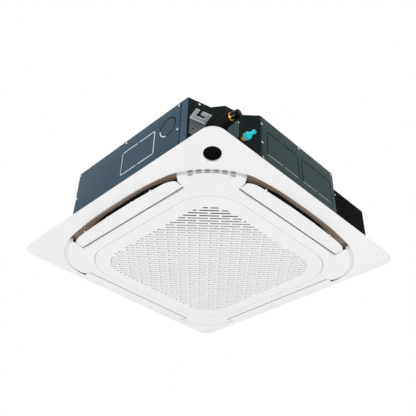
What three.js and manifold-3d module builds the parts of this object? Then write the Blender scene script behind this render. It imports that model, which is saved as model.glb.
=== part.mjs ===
// A ceiling cassette air conditioner: sheet-metal casing above the ceiling, white
// louvred panel below it. Millimetres, +Z up, origin at the middle of the grille's face.
import * as THREE from 'three';
import { mergeVertices } from 'three/addons/utils/BufferGeometryUtils.js';
import Module from 'manifold-3d';

const manifold = await Module();
manifold.setup();

// ---------- driving dimensions ----------
const gap = 0.3;                 // between pieces that touch
const slack = 0.6;               // between a pin and its bore, or a sheet and its hole

const casingHalf = 420;          // casing, half its width
const casingBottom = 63;         // above the grille's face
const casingHeight = 246;
const sheet = 1.5;               // sheet metal thickness
const cornerCut = 156;           // plain casing corners are cut off this far along each wall
const boxCornerCut = 219;        // the corner that carries the electrical box
const seamInset = 143;           // seam of the folded pipe corner to the casing's corner
// corners of the recess for the pipes, each as far in from the casing's corner along X and Y
const recessSteps = [[114, 0], [92, 81], [54, 107], [38, 178], [0, 217]];

const knockoutRise = 95;         // knockouts above the bottom of the casing
const knockoutHeight = 103;
const knockoutLength = 167;
const knockoutInset = 122;       // from the seam
const knockoutLine = 4;          // width of its slots
const knockoutTab = 8;
const knockoutMargin = 24;       // from the ends of the right wall
const knockoutSpace = 10;
const portRadius = 37.5;
const portInset = 60;
const portRise = 173;

const linerWall = 20;            // foam lining inside the casing
const panHeight = 32;
const troughDepth = 12;
const troughMargin = 6;          // trough wall to coil, each side
const panBay = 140;              // cut-back of the pan's floor at the pipe corner

const outletShaft = 80;          // coil to the outside of the casing
const coilDepth = 44;
const coilRoom = 5;              // coil to the lining at the corner of the electrical box
const coilHeadRoom = 8.2;
const pipeBay = 252;             // end of the coil to the outside of the casing
const endPlate = 2;
const headerInset = 12;          // header pipe to the face of the coil
const headerStand = 24;          // header pipe to the end plate
const headerMargin = 18;         // header pipe to the top and bottom of the coil
const stubRadius = 3.6;
const gasStubs = 4;
const liquidStubs = 3;

const fanRoom = 61;              // between fan and coil
const fanLift = 53;              // fan above the bottom of the casing
const fanHeadRoom = 19.5;
const fanWall = 3;
const collarShare = 8 / 61;      // of the way from inlet to rim, where the shroud leaves upright
const shoulderShare = 28 / 61;   // where it bends over
const shroudRise = 40;
const hubDepth = 74;
const bladeCount = 7;
const bladeChord = 98;
const bladeThickness = 5;
const bladeSweep = 0.85;         // radians between a blade and the radius
const bladeInset = 6;            // outer edge of a blade to the rim of the fan
const hubBoss = 26;
const motorRadius = 66;
const motorHeight = 64;
const motorRoom = 2;
const motorFoot = 150;           // square mounting plate on top of the motor
const motorPlate = 3;
const motorRound = 8;
const shaftRadius = 6;
const shaftEnd = 2;              // shaft stands out of its nut
const nutAcross = 24;
const nutHeight = 14;
const nutFlange = 19;
const nutFlangeThickness = 3;

const bellThroat = 168;
const bellFlare = 76;            // how far it widens to its mouth
const bellFlange = 18;
const bellLap = 8;               // throat inside the fan's inlet
const bellWall = 2.5;
const inletGap = 6;              // fan inlet round the throat

const rimOverhang = 55;          // panel beyond the casing
const rimCorner = 45;
const rimHeight = 9;
const rimWidth = 45;             // outer frame at the middle of a side
const panelDepth = 42;           // the grille's face below the rim
const wall = 3;                  // moulded plastic
const openingBow = 3300;         // the opening's sides are long arcs of this radius
const openingCorner = 209;
const openingDrop = 9.5;         // rim to inner edge, at the middle of a side
const openingCornerDrop = 29;    // the same on the diagonal
const grooveWidth = 12.5;        // between the outer frame and the centre frame
const grooveDepth = 14;
const grooveStep = 3.75;         // centre frame's edge below the outer frame's
const lipRise = 3;               // upright part of the opening's lip at the middle of a side
const lipCornerRise = 19;        // the same on the diagonal
const ductLean = 16;             // outlets' outer wall at the top, inside the casing's face
const ductCorner = 330;
const sealWidth = 12;
const sealThickness = 3.4;
const ventCount = 6;
const ventPitch = 26.5;
const ventWidth = 15;

const doorBorder = 35;           // between the intake grille and the outlets
const doorCorner = 141;
const doorGap = 1.5;
const doorThickness = 5;
const lipHeight = 8;
const slotBorder = 55;           // perforated field to the edge of the door's opening
const slotCorner = 95;
const slotPitch = 28.2;          // from row to row, across the diagonal
const slotWidth = 11;
const slotLength = 202;
const slotRib = 9;
const doorAxisOutset = 3;        // hinge axis beyond the edge of the door's opening
const doorAxisHeight = 3;
const barrelRadius = 3;
const barrelLength = 30;
const earLength = 6;
const armLap = 2;                // arms of the barrels under the door's edge
const hingePin = 1.5;
const hingeOffset = 150;         // each hinge from the middle of the door
const filterMargin = 20;
const filterThickness = 3;
const latchWidth = 46;
const latchDepth = 24;
const latchSetback = 8;          // latch body to the edge of the door, drawn back
const latchTongue = 20;
const latchGrip = 9;
const latchStep = 4;
const latchOffset = 130;

const ductInset = 22;            // inner wall of each outlet to the coil's face
const ductShoulder = 180.5;      // end of each outlet to the line of the opening's far side
const ductEndWall = 4;
const ductRoom = 13;             // the pan's outlets end this far inside the panel's
const vaneGap = 5;               // vane to the inner wall
const vaneEndGap = 3;
const vanePivot = 4.5;           // vane's inner edge to its axis
const vaneThickness = 4;
const vaneCornerLength = 46;     // outer corners rounded off, along and across the vane
const vaneCornerDepth = 16;
const vaneAxisHeight = 11.5;
const vaneBead = 5;
const vanePin = 3;
const pinReach = 2;              // pins into the end walls
const vaneRestTilt = 7;          // degrees above level as it stands open
const stepperRadius = 12;
const stepperDepth = 18;
const stepperOffset = 16;        // body above its output shaft
const stepperInset = 8;          // body inside its output shaft

const bracketWidth = 55;
const bracketReach = 43;
const bracketLift = 159;         // bearing flange above the bottom of the casing
const bracketLeg = 68;
const bracketSheet = 2.5;
const longReach = 56;            // extra reach of the bracket above the electrical box
const shortLeg = 18;
const longLift = 22;
const rodSlot = 11;
const rodSlotLength = 30;
const rodSlotInset = 22;         // slot to the wall
const longSlotInset = 76;

const gasPipe = {
  y: 89 - casingHalf, z: casingBottom + 149, radius: 9.5, foam: 20, exit: casingHalf - 12,
  nut: 28, nutLength: 12, cap: 15, capLength: 24,
};
const liquidPipe = {
  y: 140 - casingHalf, z: casingBottom + 96, radius: 4.8, foam: 12, exit: casingHalf - 9,
  nut: 22, nutLength: 11, cap: 13.5, capLength: 23,
};
const liquidSpigot = 7;
const liquidSpigotLength = 15;
const foamSetback = 4;           // insulation to the header pipe
const coverFrom = 0.12;          // cover plate, shares of the wall it lies on
const coverTo = 0.72;
const coverDrop = 34;            // below and above the middle of the gas pipe
const coverRise = 54;
const coverThickness = 2;

const boxInset = 20;             // electrical box, its face inside the casing's
const boxFarInset = 2;
const boxLift = 3;
const boxHeight = 199;
const boxLip = 8;
const boardInset = 74;           // ends of the control board to the ends of the wall it is on
const boardLift = 44;
const boardHeight = 90;
const boardThickness = 1.6;
const boardStand = 6.4;
const standoffRadius = 3;
const standoffInset = 9;
const partDepth = 30;            // tallest part on the board
const terminalHalf = 42;
const terminalHeight = 24;
const terminalDepth = 24;
const terminalLift = 8;

const sensorInset = 73;          // round window in the near corner of the panel, from the rim
const sensorRadius = 27.5;
const sensorProud = 0.6;         // stands out of the frame's face
const sensorDepth = 14;
const sensorMargin = 6;
const sensorTilt = 4;            // degrees from level
const sensorLift = 4;            // its middle above the frame's face

const pumpX = 128;               // pump and float, each from the casing's corner
const pumpY = 158;
const pumpRadius = 26;
const pumpHeight = 78;
const pumpIntake = 14;
const pumpIntakeHeight = 21;
const pumpPlateHalf = 30;
const pumpPlateWidth = 24;
const pumpPlate = 3;
const spigotLength = 6;
const hoseRadius = 8;
const hoseLead = 8;              // straight length of the hose at both ends
const socketRadius = 12;
const socketBore = 9;
const socketLift = 49;
const socketRise = 20;           // from the fold of the pipe corner
const socketInside = 24;
const socketReach = 12;
const socketFloor = 10;
const floatX = 158;
const floatY = 102;
const floatRadius = 11;
const floatHeight = 18;
const floatTravel = 12;
const floatStem = 3;
const floatFoot = 10;
const floatFootRadius = 9;
const floatStop = 8;

// ---------- materials ----------
const finish = (color, roughness, metalness = 0) =>
  new THREE.MeshStandardMaterial({ color, roughness, metalness });
const slateSheet = finish(0x4f6470, 0.5, 0.4);
const zincSheet = finish(0xb9c0c4, 0.4, 0.8);
const blackSheet = finish(0x15171c, 0.5, 0.3);
const whitePlastic = finish(0xeeeeee, 0.4);
const greyPlastic = finish(0x8f8f8c, 0.5);
const blackPlastic = finish(0x111214, 0.35);
const tealPlastic = finish(0x14c8c8, 0.35);
const foam = finish(0xe8ecee, 0.95);
const blackFoam = finish(0x1c1c1c, 0.95);
const finAluminium = finish(0xb4b8ba, 0.45, 0.8);
const copper = finish(0xb8703e, 0.35, 0.9);
const brass = finish(0xc8a04a, 0.3, 0.9);
const steel = finish(0x9aa0a4, 0.35, 0.9);
const circuitGreen = finish(0x1f6b45, 0.6);

// ---------- shared values ----------
const casingTop = casingBottom + casingHeight;
const innerTop = casingTop - sheet;
const rimHalf = casingHalf + rimOverhang;
const rimBottom = panelDepth;
const rimTop = rimBottom + rimHeight;
const openingHalf = rimHalf - rimWidth;
const panTop = casingBottom + panHeight;
const panFloor = panTop - troughDepth;
const boxLine = 2 * casingHalf - boxCornerCut;   // x + y along the cut corner
const coilHalf = casingHalf - outletShaft;
const coilInner = coilHalf - coilDepth;
const coilEnd = casingHalf - pipeBay;
const coilBottom = panFloor + gap;
const coilTop = innerTop - coilHeadRoom;
const coilCorner = (2 * coilHalf - boxLine + (sheet + linerWall + coilRoom) * Math.SQRT2) / (2 - Math.SQRT2);
const fanRadius = coilInner - fanRoom;
const fanInlet = bellThroat + inletGap;
const fanBottom = casingBottom + fanLift;
const fanTop = innerTop - fanHeadRoom;
const motorBottom = innerTop - gap - motorRoom - motorHeight;
const bellMouth = bellThroat + bellFlare;
const ductHalf = casingHalf - ductLean;
const ductTop = casingBottom - gap - sealThickness - gap;
const ductInner = coilHalf + ductInset;
const ductHalfLength = openingHalf - ductShoulder;
const vaneInner = ductInner + vaneGap;
const vaneAxis = vaneInner + vanePivot;
const vaneHalfLength = ductHalfLength - vaneEndGap;
const doorHalf = ductInner - doorBorder;
const doorAxis = doorHalf + doorAxisOutset;
const slotHalf = doorHalf - slotBorder;
const cushionHalf = openingHalf - grooveWidth;
const cushionBow = openingBow - grooveWidth;
const cushionCorner = openingCorner - grooveWidth;
const boxFace = casingHalf - boxInset;
const boxFar = casingHalf - boxFarInset;
const boxBottom = casingBottom + boxLift;
const boxTop = boxBottom + boxHeight;
const pipeRecess = recessSteps.map(([x, y]) => [casingHalf - x, y - casingHalf]);
const seamX = casingHalf - seamInset;
const socketY = pipeRecess[3][1] + socketRise;
const socketZ = casingBottom + socketLift;
const sensorOffset = rimHalf - sensorInset;

// ---------- solids ----------
const unit = new THREE.Group();

function solidOf(geometry) {
  const bare = geometry.index ? geometry.toNonIndexed() : geometry.clone();
  bare.deleteAttribute('normal');
  bare.deleteAttribute('uv');
  const merged = mergeVertices(bare, 1e-4);
  const vertProperties = new Float32Array(merged.attributes.position.array);
  const triVerts = new Uint32Array(merged.index.array);
  return new manifold.Manifold(new manifold.Mesh({ numProp: 3, vertProperties, triVerts }));
}

function geometryOf(solid) {
  const mesh = solid.getMesh();
  const geometry = new THREE.BufferGeometry();
  geometry.setAttribute('position', new THREE.BufferAttribute(new Float32Array(mesh.vertProperties), 3));
  geometry.setIndex([...mesh.triVerts]);
  geometry.computeVertexNormals();
  return geometry;
}

const cut = (body, ...tools) =>
  geometryOf(tools.reduce((rest, tool) => rest.subtract(solidOf(tool)), solidOf(body)));
const join = (...bodies) => geometryOf(bodies.map(solidOf).reduce((sum, body) => sum.add(body)));

function add(name, geometry, material, parent = unit) {
  const mesh = new THREE.Mesh(geometry, material);
  mesh.name = name;
  parent.add(mesh);
  return mesh;
}

function box(x0, x1, y0, y1, z0, z1) {
  const block = new THREE.BoxGeometry(x1 - x0, y1 - y0, z1 - z0);
  return block.translate((x0 + x1) / 2, (y0 + y1) / 2, (z0 + z1) / 2);
}

function rod(radius, length, sides = 20) {
  return new THREE.CylinderGeometry(radius, radius, length, sides).rotateX(Math.PI / 2);
}

const rodX = (radius, x0, x1, y, z, sides = 20) =>
  rod(radius, x1 - x0, sides).rotateY(Math.PI / 2).translate((x0 + x1) / 2, y, z);
const rodY = (radius, y0, y1, x, z, sides = 20) =>
  rod(radius, y1 - y0, sides).rotateX(Math.PI / 2).translate(x, (y0 + y1) / 2, z);
const rodZ = (radius, z0, z1, x = 0, y = 0, sides = 20) =>
  rod(radius, z1 - z0, sides).translate(x, y, (z0 + z1) / 2);
const shapeOf = (points) => new THREE.Shape(points.map(([x, y]) => new THREE.Vector2(x, y)));

function slab(shape, z0, z1, curveSegments = 6) {
  const settings = { depth: z1 - z0, bevelEnabled: false, curveSegments };
  return new THREE.ExtrudeGeometry(shape, settings).translate(0, 0, z0);
}

// a turned piece about Z from a closed profile of [radius, height] points
function turned(profile, segments = 48) {
  const points = [...profile, profile[0]].map(([r, z]) => new THREE.Vector2(r, z));
  return new THREE.LatheGeometry(points, segments).rotateX(Math.PI / 2);
}

const hexRod = (across, x0, x1, y, z) => rodX(across / Math.sqrt(3), x0, x1, y, z, 6);

// ---------- outlines of the panel ----------
// A square of half width `half` with sides bowed to radius `bow` and corners rounded to
// radius `corner`: returns the distance to its edge in the direction of an angle.
function bowedSquare(half, bow, corner) {
  const shift = bow - half;
  const centre = (Math.sqrt(2 * (bow - corner) ** 2 - shift ** 2) - shift) / 2;
  const turnAngle = Math.atan2(centre * bow, (centre + shift) * bow - shift * (bow - corner));
  return (angle) => {
    const quarter = Math.PI / 2;
    const folded = Math.abs(((angle + quarter / 2) % quarter + quarter) % quarter - quarter / 2);
    const c = Math.cos(folded);
    const s = Math.sin(folded);
    if (folded < turnAngle) return Math.sqrt(bow ** 2 - (shift * s) ** 2) - shift * c;
    return centre * (c + s) + Math.sqrt(corner ** 2 - (centre * (c - s)) ** 2);
  };
}

const straight = 1e5;            // a bow of this radius is a straight side
const rimLine = bowedSquare(rimHalf, straight, rimCorner);
const openingLine = bowedSquare(openingHalf, openingBow, openingCorner);
const cushionLine = bowedSquare(cushionHalf, cushionBow, cushionCorner);
const ductLine = bowedSquare(ductHalf, openingBow, ductCorner);
const doorLine = bowedSquare(doorHalf, straight, doorCorner);

// share of the way from a side's middle to the diagonal, rising late
const toCorner = (angle) => Math.abs(Math.sin(2 * angle)) ** 5;
const openingHeight = (angle) =>
  rimBottom - openingDrop - (openingCornerDrop - openingDrop) * toCorner(angle);
const lipHeightAt = (angle) =>
  openingHeight(angle) + lipRise + (lipCornerRise - lipRise) * Math.sin(2 * angle) ** 2;
const cushionEdgeHeight = (angle) => openingHeight(angle) - grooveStep;

// underside of the domed centre: t runs from its outer edge (0) to the door (1)
function domeHeight(t, angle) {
  return cushionEdgeHeight(angle) * (1 - Math.sin(Math.PI / 2 * t));
}

// angle of one of the stations round an outline, which crowd towards the four diagonals
function stationAngle(step, stations) {
  const perOctant = stations / 8;
  const side = Math.round(step / (2 * perOctant)) * 2;
  const along = step / perOctant - side;
  return (side + Math.sign(along) * (1 - (1 - Math.abs(along)) ** 1.8)) * Math.PI / 4;
}

// A closed ring about Z: each profile point gives [line, offset, height] with line and
// height as functions of the angle.
function frameRing(profile, stations = 56) {
  const marks = [...profile, profile[0]].map((point, i) => new THREE.Vector2(100 + i, i));
  const ring = new THREE.LatheGeometry(marks, stations).rotateX(Math.PI / 2);
  const position = ring.attributes.position;
  for (let i = 0; i < position.count; i++) {
    const place = Math.round(position.getZ(i)) % profile.length;
    const bearing = Math.atan2(position.getY(i), position.getX(i));
    const angle = stationAngle(Math.round(bearing / (2 * Math.PI) * stations), stations);
    const [line, offset, height] = profile[place];
    const reach = line(angle) + offset;
    position.setXYZ(i, reach * Math.cos(angle), reach * Math.sin(angle), height(angle));
  }
  return ring;
}

const level = (z) => () => z;

function outlineShape(line, offset = 0, stations = 56) {
  return shapeOf(Array.from({ length: stations }, (_, i) => {
    const angle = stationAngle(i, stations);
    const reach = line(angle) + offset;
    return [reach * Math.cos(angle), reach * Math.sin(angle)];
  }));
}

// ---------- casing ----------
const cornerPlate = [[seamX, -casingHalf], ...pipeRecess];
const casingPlan = [
  ...cornerPlate,
  [casingHalf, boxLine - casingHalf], [boxLine - casingHalf, casingHalf],
  [cornerCut - casingHalf, casingHalf], [-casingHalf, casingHalf - cornerCut],
  [-casingHalf, cornerCut - casingHalf], [cornerCut - casingHalf, -casingHalf],
];

// moves every edge of a closed plan inwards by a distance
function inset(plan, distance) {
  return plan.map((point, i) => {
    const before = plan[(i + plan.length - 1) % plan.length];
    const after = plan[(i + 1) % plan.length];
    const a = new THREE.Vector2(point[0] - before[0], point[1] - before[1]).normalize();
    const b = new THREE.Vector2(after[0] - point[0], after[1] - point[1]).normalize();
    const scale = distance / (1 + a.dot(b));
    return [point[0] - (a.y + b.y) * scale, point[1] + (a.x + b.x) * scale];
  });
}

// an upright sheet along one stretch of the plan; its holes are drawn along the wall and up
function wallSheet(from, to, holes = []) {
  const run = new THREE.Vector2(to[0] - from[0], to[1] - from[1]);
  const end = sheet - gap / 2;
  const face = box(end, run.length() - end, casingBottom, innerTop - gap, -sheet, 0);
  const pierced = cut(face, ...holes.map((hole) => slab(hole, -sheet - 1, 1, 10)));
  return pierced.rotateX(Math.PI / 2).rotateZ(run.angle()).translate(from[0], from[1], 0);
}

// knockout: two bracket-shaped slots with a tab left between their ends
function knockout(x0, x1, z0, z1) {
  const middle = (x0 + x1) / 2;
  const line = knockoutLine;
  const tab = knockoutTab;
  const half = (side, edge) => shapeOf([
    [middle + side * tab / 2, z0], [edge, z0], [edge, z1], [middle + side * tab / 2, z1],
    [middle + side * tab / 2, z1 - line], [edge - side * line, z1 - line],
    [edge - side * line, z0 + line], [middle + side * tab / 2, z0 + line],
  ]);
  return [half(-1, x0), half(1, x1)];
}

function arcSlot(x, z, radius, start, end) {
  const slot = new THREE.Shape();
  slot.absarc(x, z, radius, start, end, false);
  slot.absarc(x, z, radius - knockoutLine, end, start, true);
  return slot;
}

// a round hole through the pipe corner and the lining behind it
const cornerHole = (radius, y, z) => rodX(radius + slack, coilEnd, casingHalf + sheet, y, z, 24);
const cornerHoles = () => [
  cornerHole(gasPipe.foam, gasPipe.y, gasPipe.z),
  cornerHole(liquidPipe.foam, liquidPipe.y, liquidPipe.z),
  cornerHole(socketRadius, socketY, socketZ),
];

function frontHoles(length) {
  const right = length - knockoutInset;
  const bottom = casingBottom + knockoutRise;
  return [
    ...knockout(right - knockoutLength, right, bottom, bottom + knockoutHeight),
    arcSlot(length - portInset, casingBottom + portRise, portRadius, Math.PI * 0.85, Math.PI * 1.5),
  ];
}

function sideHoles(length) {
  const middle = length / 2;
  const half = knockoutSpace / 2;
  const bottom = casingBottom + knockoutRise;
  return [
    ...knockout(knockoutMargin, middle - half, bottom, bottom + knockoutHeight),
    ...knockout(middle + half, length - knockoutMargin, bottom, bottom + knockoutHeight),
  ];
}

function buildCasing() {
  const plain = casingHalf - cornerCut;
  const cutEnd = casingHalf - boxCornerCut;
  const recessEnd = pipeRecess[pipeRecess.length - 1];
  const frontLength = seamX + plain;
  const rightLength = cutEnd - recessEnd[1];
  const upright = (name, from, to, holes) => add(name, wallSheet(from, to, holes), slateSheet);
  upright('side_wall_front', [-plain, -casingHalf], cornerPlate[0], frontHoles(frontLength));
  upright('side_wall_right', recessEnd, [casingHalf, cutEnd], sideHoles(rightLength));
  upright('side_wall_rear', [cutEnd, casingHalf], [-plain, casingHalf]);
  upright('side_wall_left', [-casingHalf, plain], [-casingHalf, -plain]);
  upright('corner_plate_rear_right', [casingHalf, cutEnd], [cutEnd, casingHalf]);
  upright('corner_plate_rear_left', [-plain, casingHalf], [-casingHalf, plain]);
  upright('corner_plate_front_left', [-casingHalf, -plain], [-plain, -casingHalf]);
  const inner = inset(casingPlan, sheet).slice(0, cornerPlate.length).reverse();
  const folded = slab(shapeOf([...cornerPlate, ...inner]), casingBottom, innerTop - gap);
  add('pipe_corner_plate', cut(folded, ...cornerHoles()), slateSheet);
  add('top_plate', slab(shapeOf(casingPlan), innerTop, casingTop), slateSheet);

  const lining = slab(shapeOf(inset(casingPlan, sheet + gap)), panTop + gap, innerTop - gap);
  const hollow = slab(shapeOf(inset(casingPlan, sheet + linerWall)), panTop - 1, casingTop);
  add('foam_liner', cut(lining, hollow, ...cornerHoles()), foam);
}

// hanging bracket: an upright leg on the wall and a level flange with a slot for the rod
function hangingBracket(reach = bracketReach, leg = bracketLeg, slotInset = rodSlotInset) {
  const half = bracketWidth / 2;
  const flange = shapeOf([[-half, 0], [half, 0], [half, reach], [-half, reach]]);
  const slotHalfLength = rodSlotLength / 2;
  const entry = slotHalfLength - rodSlot;
  const slot = shapeOf([
    [-slotHalfLength, slotInset - rodSlot / 2], [slotHalfLength, slotInset - rodSlot / 2],
    [slotHalfLength, reach + 1], [entry, reach + 1],
    [entry, slotInset + rodSlot / 2], [-slotHalfLength, slotInset + rodSlot / 2],
  ]);
  const body = join(
    slab(flange, 0, bracketSheet),
    box(-half, half, 0, bracketSheet, -leg, bracketSheet / 2),
  );
  return cut(body, slab(slot, -1, bracketSheet + 1));
}

function buildBrackets() {
  const onWall = (name, from, to, share, height, geometry) => {
    const run = new THREE.Vector2(to[0] - from[0], to[1] - from[1]);
    const out = new THREE.Vector2(run.y, -run.x).normalize();
    const mesh = add(name, geometry, zincSheet);
    mesh.position.set(from[0] + run.x * share + out.x * gap, from[1] + run.y * share + out.y * gap, height);
    mesh.rotation.z = out.angle() - Math.PI / 2;
    return mesh;
  };
  const [a, b] = pipeRecess;
  const plain = casingHalf - cornerCut;
  const cutEnd = casingHalf - boxCornerCut;
  const low = casingBottom + bracketLift;
  onWall('hanger_bracket_1', a, b, 0.43, low, hangingBracket());
  onWall('hanger_bracket_2', [-casingHalf, -plain], [-plain, -casingHalf], 0.22, low, hangingBracket());
  onWall('hanger_bracket_3', [-plain, casingHalf], [-casingHalf, plain], 0.78, low, hangingBracket());
  onWall('hanger_bracket_4', [casingHalf, cutEnd], [cutEnd, casingHalf], 0.61, boxTop + longLift,
    hangingBracket(bracketReach + longReach, shortLeg, longSlotInset));
}

// ---------- inside ----------
// outline points of the coil's path at a depth below its outer face, round from one end to the other
function coilPath(offset) {
  const half = coilHalf - offset;
  const corner = coilCorner - offset;
  const points = [new THREE.Vector2(half, -coilEnd)];
  for (let k = 0; k < 3; k++) {
    const centre = new THREE.Vector2(half - corner, half - corner);
    centre.rotateAround(new THREE.Vector2(), k * Math.PI / 2);
    for (let i = 0; i <= 6; i++) {
      const angle = (k + i / 6) * Math.PI / 2;
      const reach = new THREE.Vector2(corner * Math.cos(angle), corner * Math.sin(angle));
      points.push(reach.add(centre));
    }
  }
  points.push(new THREE.Vector2(coilEnd, -half));
  return points;
}

function buildCoil() {
  const shape = new THREE.Shape([...coilPath(0), ...coilPath(coilDepth).reverse()]);
  add('evaporator_coil', slab(shape, coilBottom, coilTop), finAluminium);
  const near = coilEnd + gap;
  const far = near + endPlate;
  add('coil_end_plate_1', box(coilInner, coilHalf, -far, -near, coilBottom, coilTop), zincSheet);
  add('coil_end_plate_2', box(near, far, -coilHalf, -coilInner, coilBottom, coilTop), zincSheet);

  // a header pipe on end, with stubs to the end plate and a branch that leads outside
  const header = (x, pipe, stubs) => {
    const y = -(far + gap + headerStand);
    const low = coilBottom + headerMargin;
    const high = coilTop - headerMargin;
    const pieces = [rodZ(pipe.radius, low, high, x, y, 12)];
    for (let i = 0; i < stubs; i++) {
      const z = low + headerMargin + i * (high - low - 2 * headerMargin) / (stubs - 1);
      pieces.push(rodY(stubRadius, y, -(far + gap), x, z, 8));
    }
    pieces.push(rodY(pipe.radius * 0.92, pipe.y - pipe.radius * 0.6, y, x, pipe.z, 12));
    const end = pipe.exit + pipe.nutLength - 1;
    pieces.push(rodX(pipe.radius, x - pipe.radius * 0.6, end, pipe.y, pipe.z, 12));
    return join(...pieces);
  };
  const gasX = coilInner + headerInset;
  const liquidX = coilHalf - headerInset;
  add('gas_pipe', header(gasX, gasPipe, gasStubs), copper);
  add('liquid_pipe', header(liquidX, liquidPipe, liquidStubs), copper);

  const sleeve = (pipe, from) => cut(
    rodX(pipe.foam, from, pipe.exit - gap, pipe.y, pipe.z, 24),
    rodX(pipe.radius + gap, from - 1, pipe.exit + 1, pipe.y, pipe.z, 16),
  );
  add('gas_pipe_insulation', sleeve(gasPipe, gasX + gasPipe.radius + foamSetback), blackFoam);
  add('liquid_pipe_insulation', sleeve(liquidPipe, liquidX + liquidPipe.radius + foamSetback), blackFoam);

  const nut = (pipe) => cut(
    hexRod(pipe.nut, pipe.exit, pipe.exit + pipe.nutLength, pipe.y, pipe.z),
    rodX(pipe.radius + gap, pipe.exit - 1, pipe.exit + pipe.nutLength + 1, pipe.y, pipe.z, 16),
  );
  add('gas_flare_nut', nut(gasPipe), brass);
  add('liquid_flare_nut', nut(liquidPipe), brass);
  const capFrom = (pipe) => pipe.exit + pipe.nutLength + gap;
  add('gas_pipe_cap', rodX(gasPipe.cap, capFrom(gasPipe), capFrom(gasPipe) + gasPipe.capLength,
    gasPipe.y, gasPipe.z, 24), blackPlastic);
  const capEnd = capFrom(liquidPipe) + liquidPipe.capLength;
  add('liquid_pipe_cap', join(
    rodX(liquidPipe.cap, capFrom(liquidPipe), capEnd, liquidPipe.y, liquidPipe.z, 24),
    rodX(liquidSpigot, capEnd - 1, capEnd + liquidSpigotLength, liquidPipe.y, liquidPipe.z, 16),
  ), tealPlastic);

  const [, , c, d] = pipeRecess;
  const run = new THREE.Vector2(d[0] - c[0], d[1] - c[1]);
  const cover = box(run.length() * coverFrom, run.length() * coverTo, -coverThickness - gap, -gap,
    gasPipe.z - coverDrop, gasPipe.z + coverRise);
  const placed = cover.rotateZ(run.angle()).translate(c[0], c[1], 0);
  add('pipe_cover_plate', cut(placed, cornerHole(gasPipe.foam, gasPipe.y, gasPipe.z)), slateSheet);
}

function buildPan() {
  const body = slab(shapeOf(inset(casingPlan, sheet + gap)), casingBottom, panTop);
  const outer = coilHalf + troughMargin;
  const inner = coilInner - troughMargin;
  const end = coilEnd - troughMargin;
  const bay = casingHalf - panBay;
  const trough = new THREE.Shape([
    ...coilPath(-troughMargin), ...coilPath(coilDepth + troughMargin).reverse(),
  ]);
  const nearCorner = shapeOf([
    [end, -outer], [end, -inner], [inner, -end], [outer, -end], [outer, -bay], [bay, -outer],
  ]);
  // the two outlets beside the pipe corner stop short of it
  const full = ductHalfLength - ductRoom;
  const outlets = [[-coilEnd, full], [-full, full], [-full, full], [-full, coilEnd]].map(([from, to], k) =>
    box(outer + troughMargin, ductHalf - 2, from, to, 0, panTop + 1).rotateZ(k * Math.PI / 2));
  add('drain_pan', cut(body, slab(trough, panFloor, panTop + 1), slab(nearCorner, panFloor, panTop + 1),
    rodZ(bellMouth + 2, 0, panTop + 1, 0, 0, 48), ...outlets), foam);
}

function buildBell() {
  const rise = fanBottom + bellLap - casingBottom;
  const base = casingBottom - gap;
  const curve = (offset) => Array.from({ length: 5 }, (_, i) => {
    const t = i / 4 * Math.PI / 2;
    return [bellMouth - bellFlare * Math.sin(t) - offset, base - bellWall + rise * (1 - Math.cos(t))];
  });
  const outside = curve(0);
  const inside = curve(bellWall).reverse();
  inside.pop();
  const rim = bellMouth + bellFlange;
  const flange = [[rim, base - bellWall], [rim, base], [bellMouth + 1, base]];
  const profile = [...flange, ...outside.slice(1), ...inside, [bellMouth - bellWall, base - bellWall]];
  add('bell_mouth', turned(profile, 32), whitePlastic);
}

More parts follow.
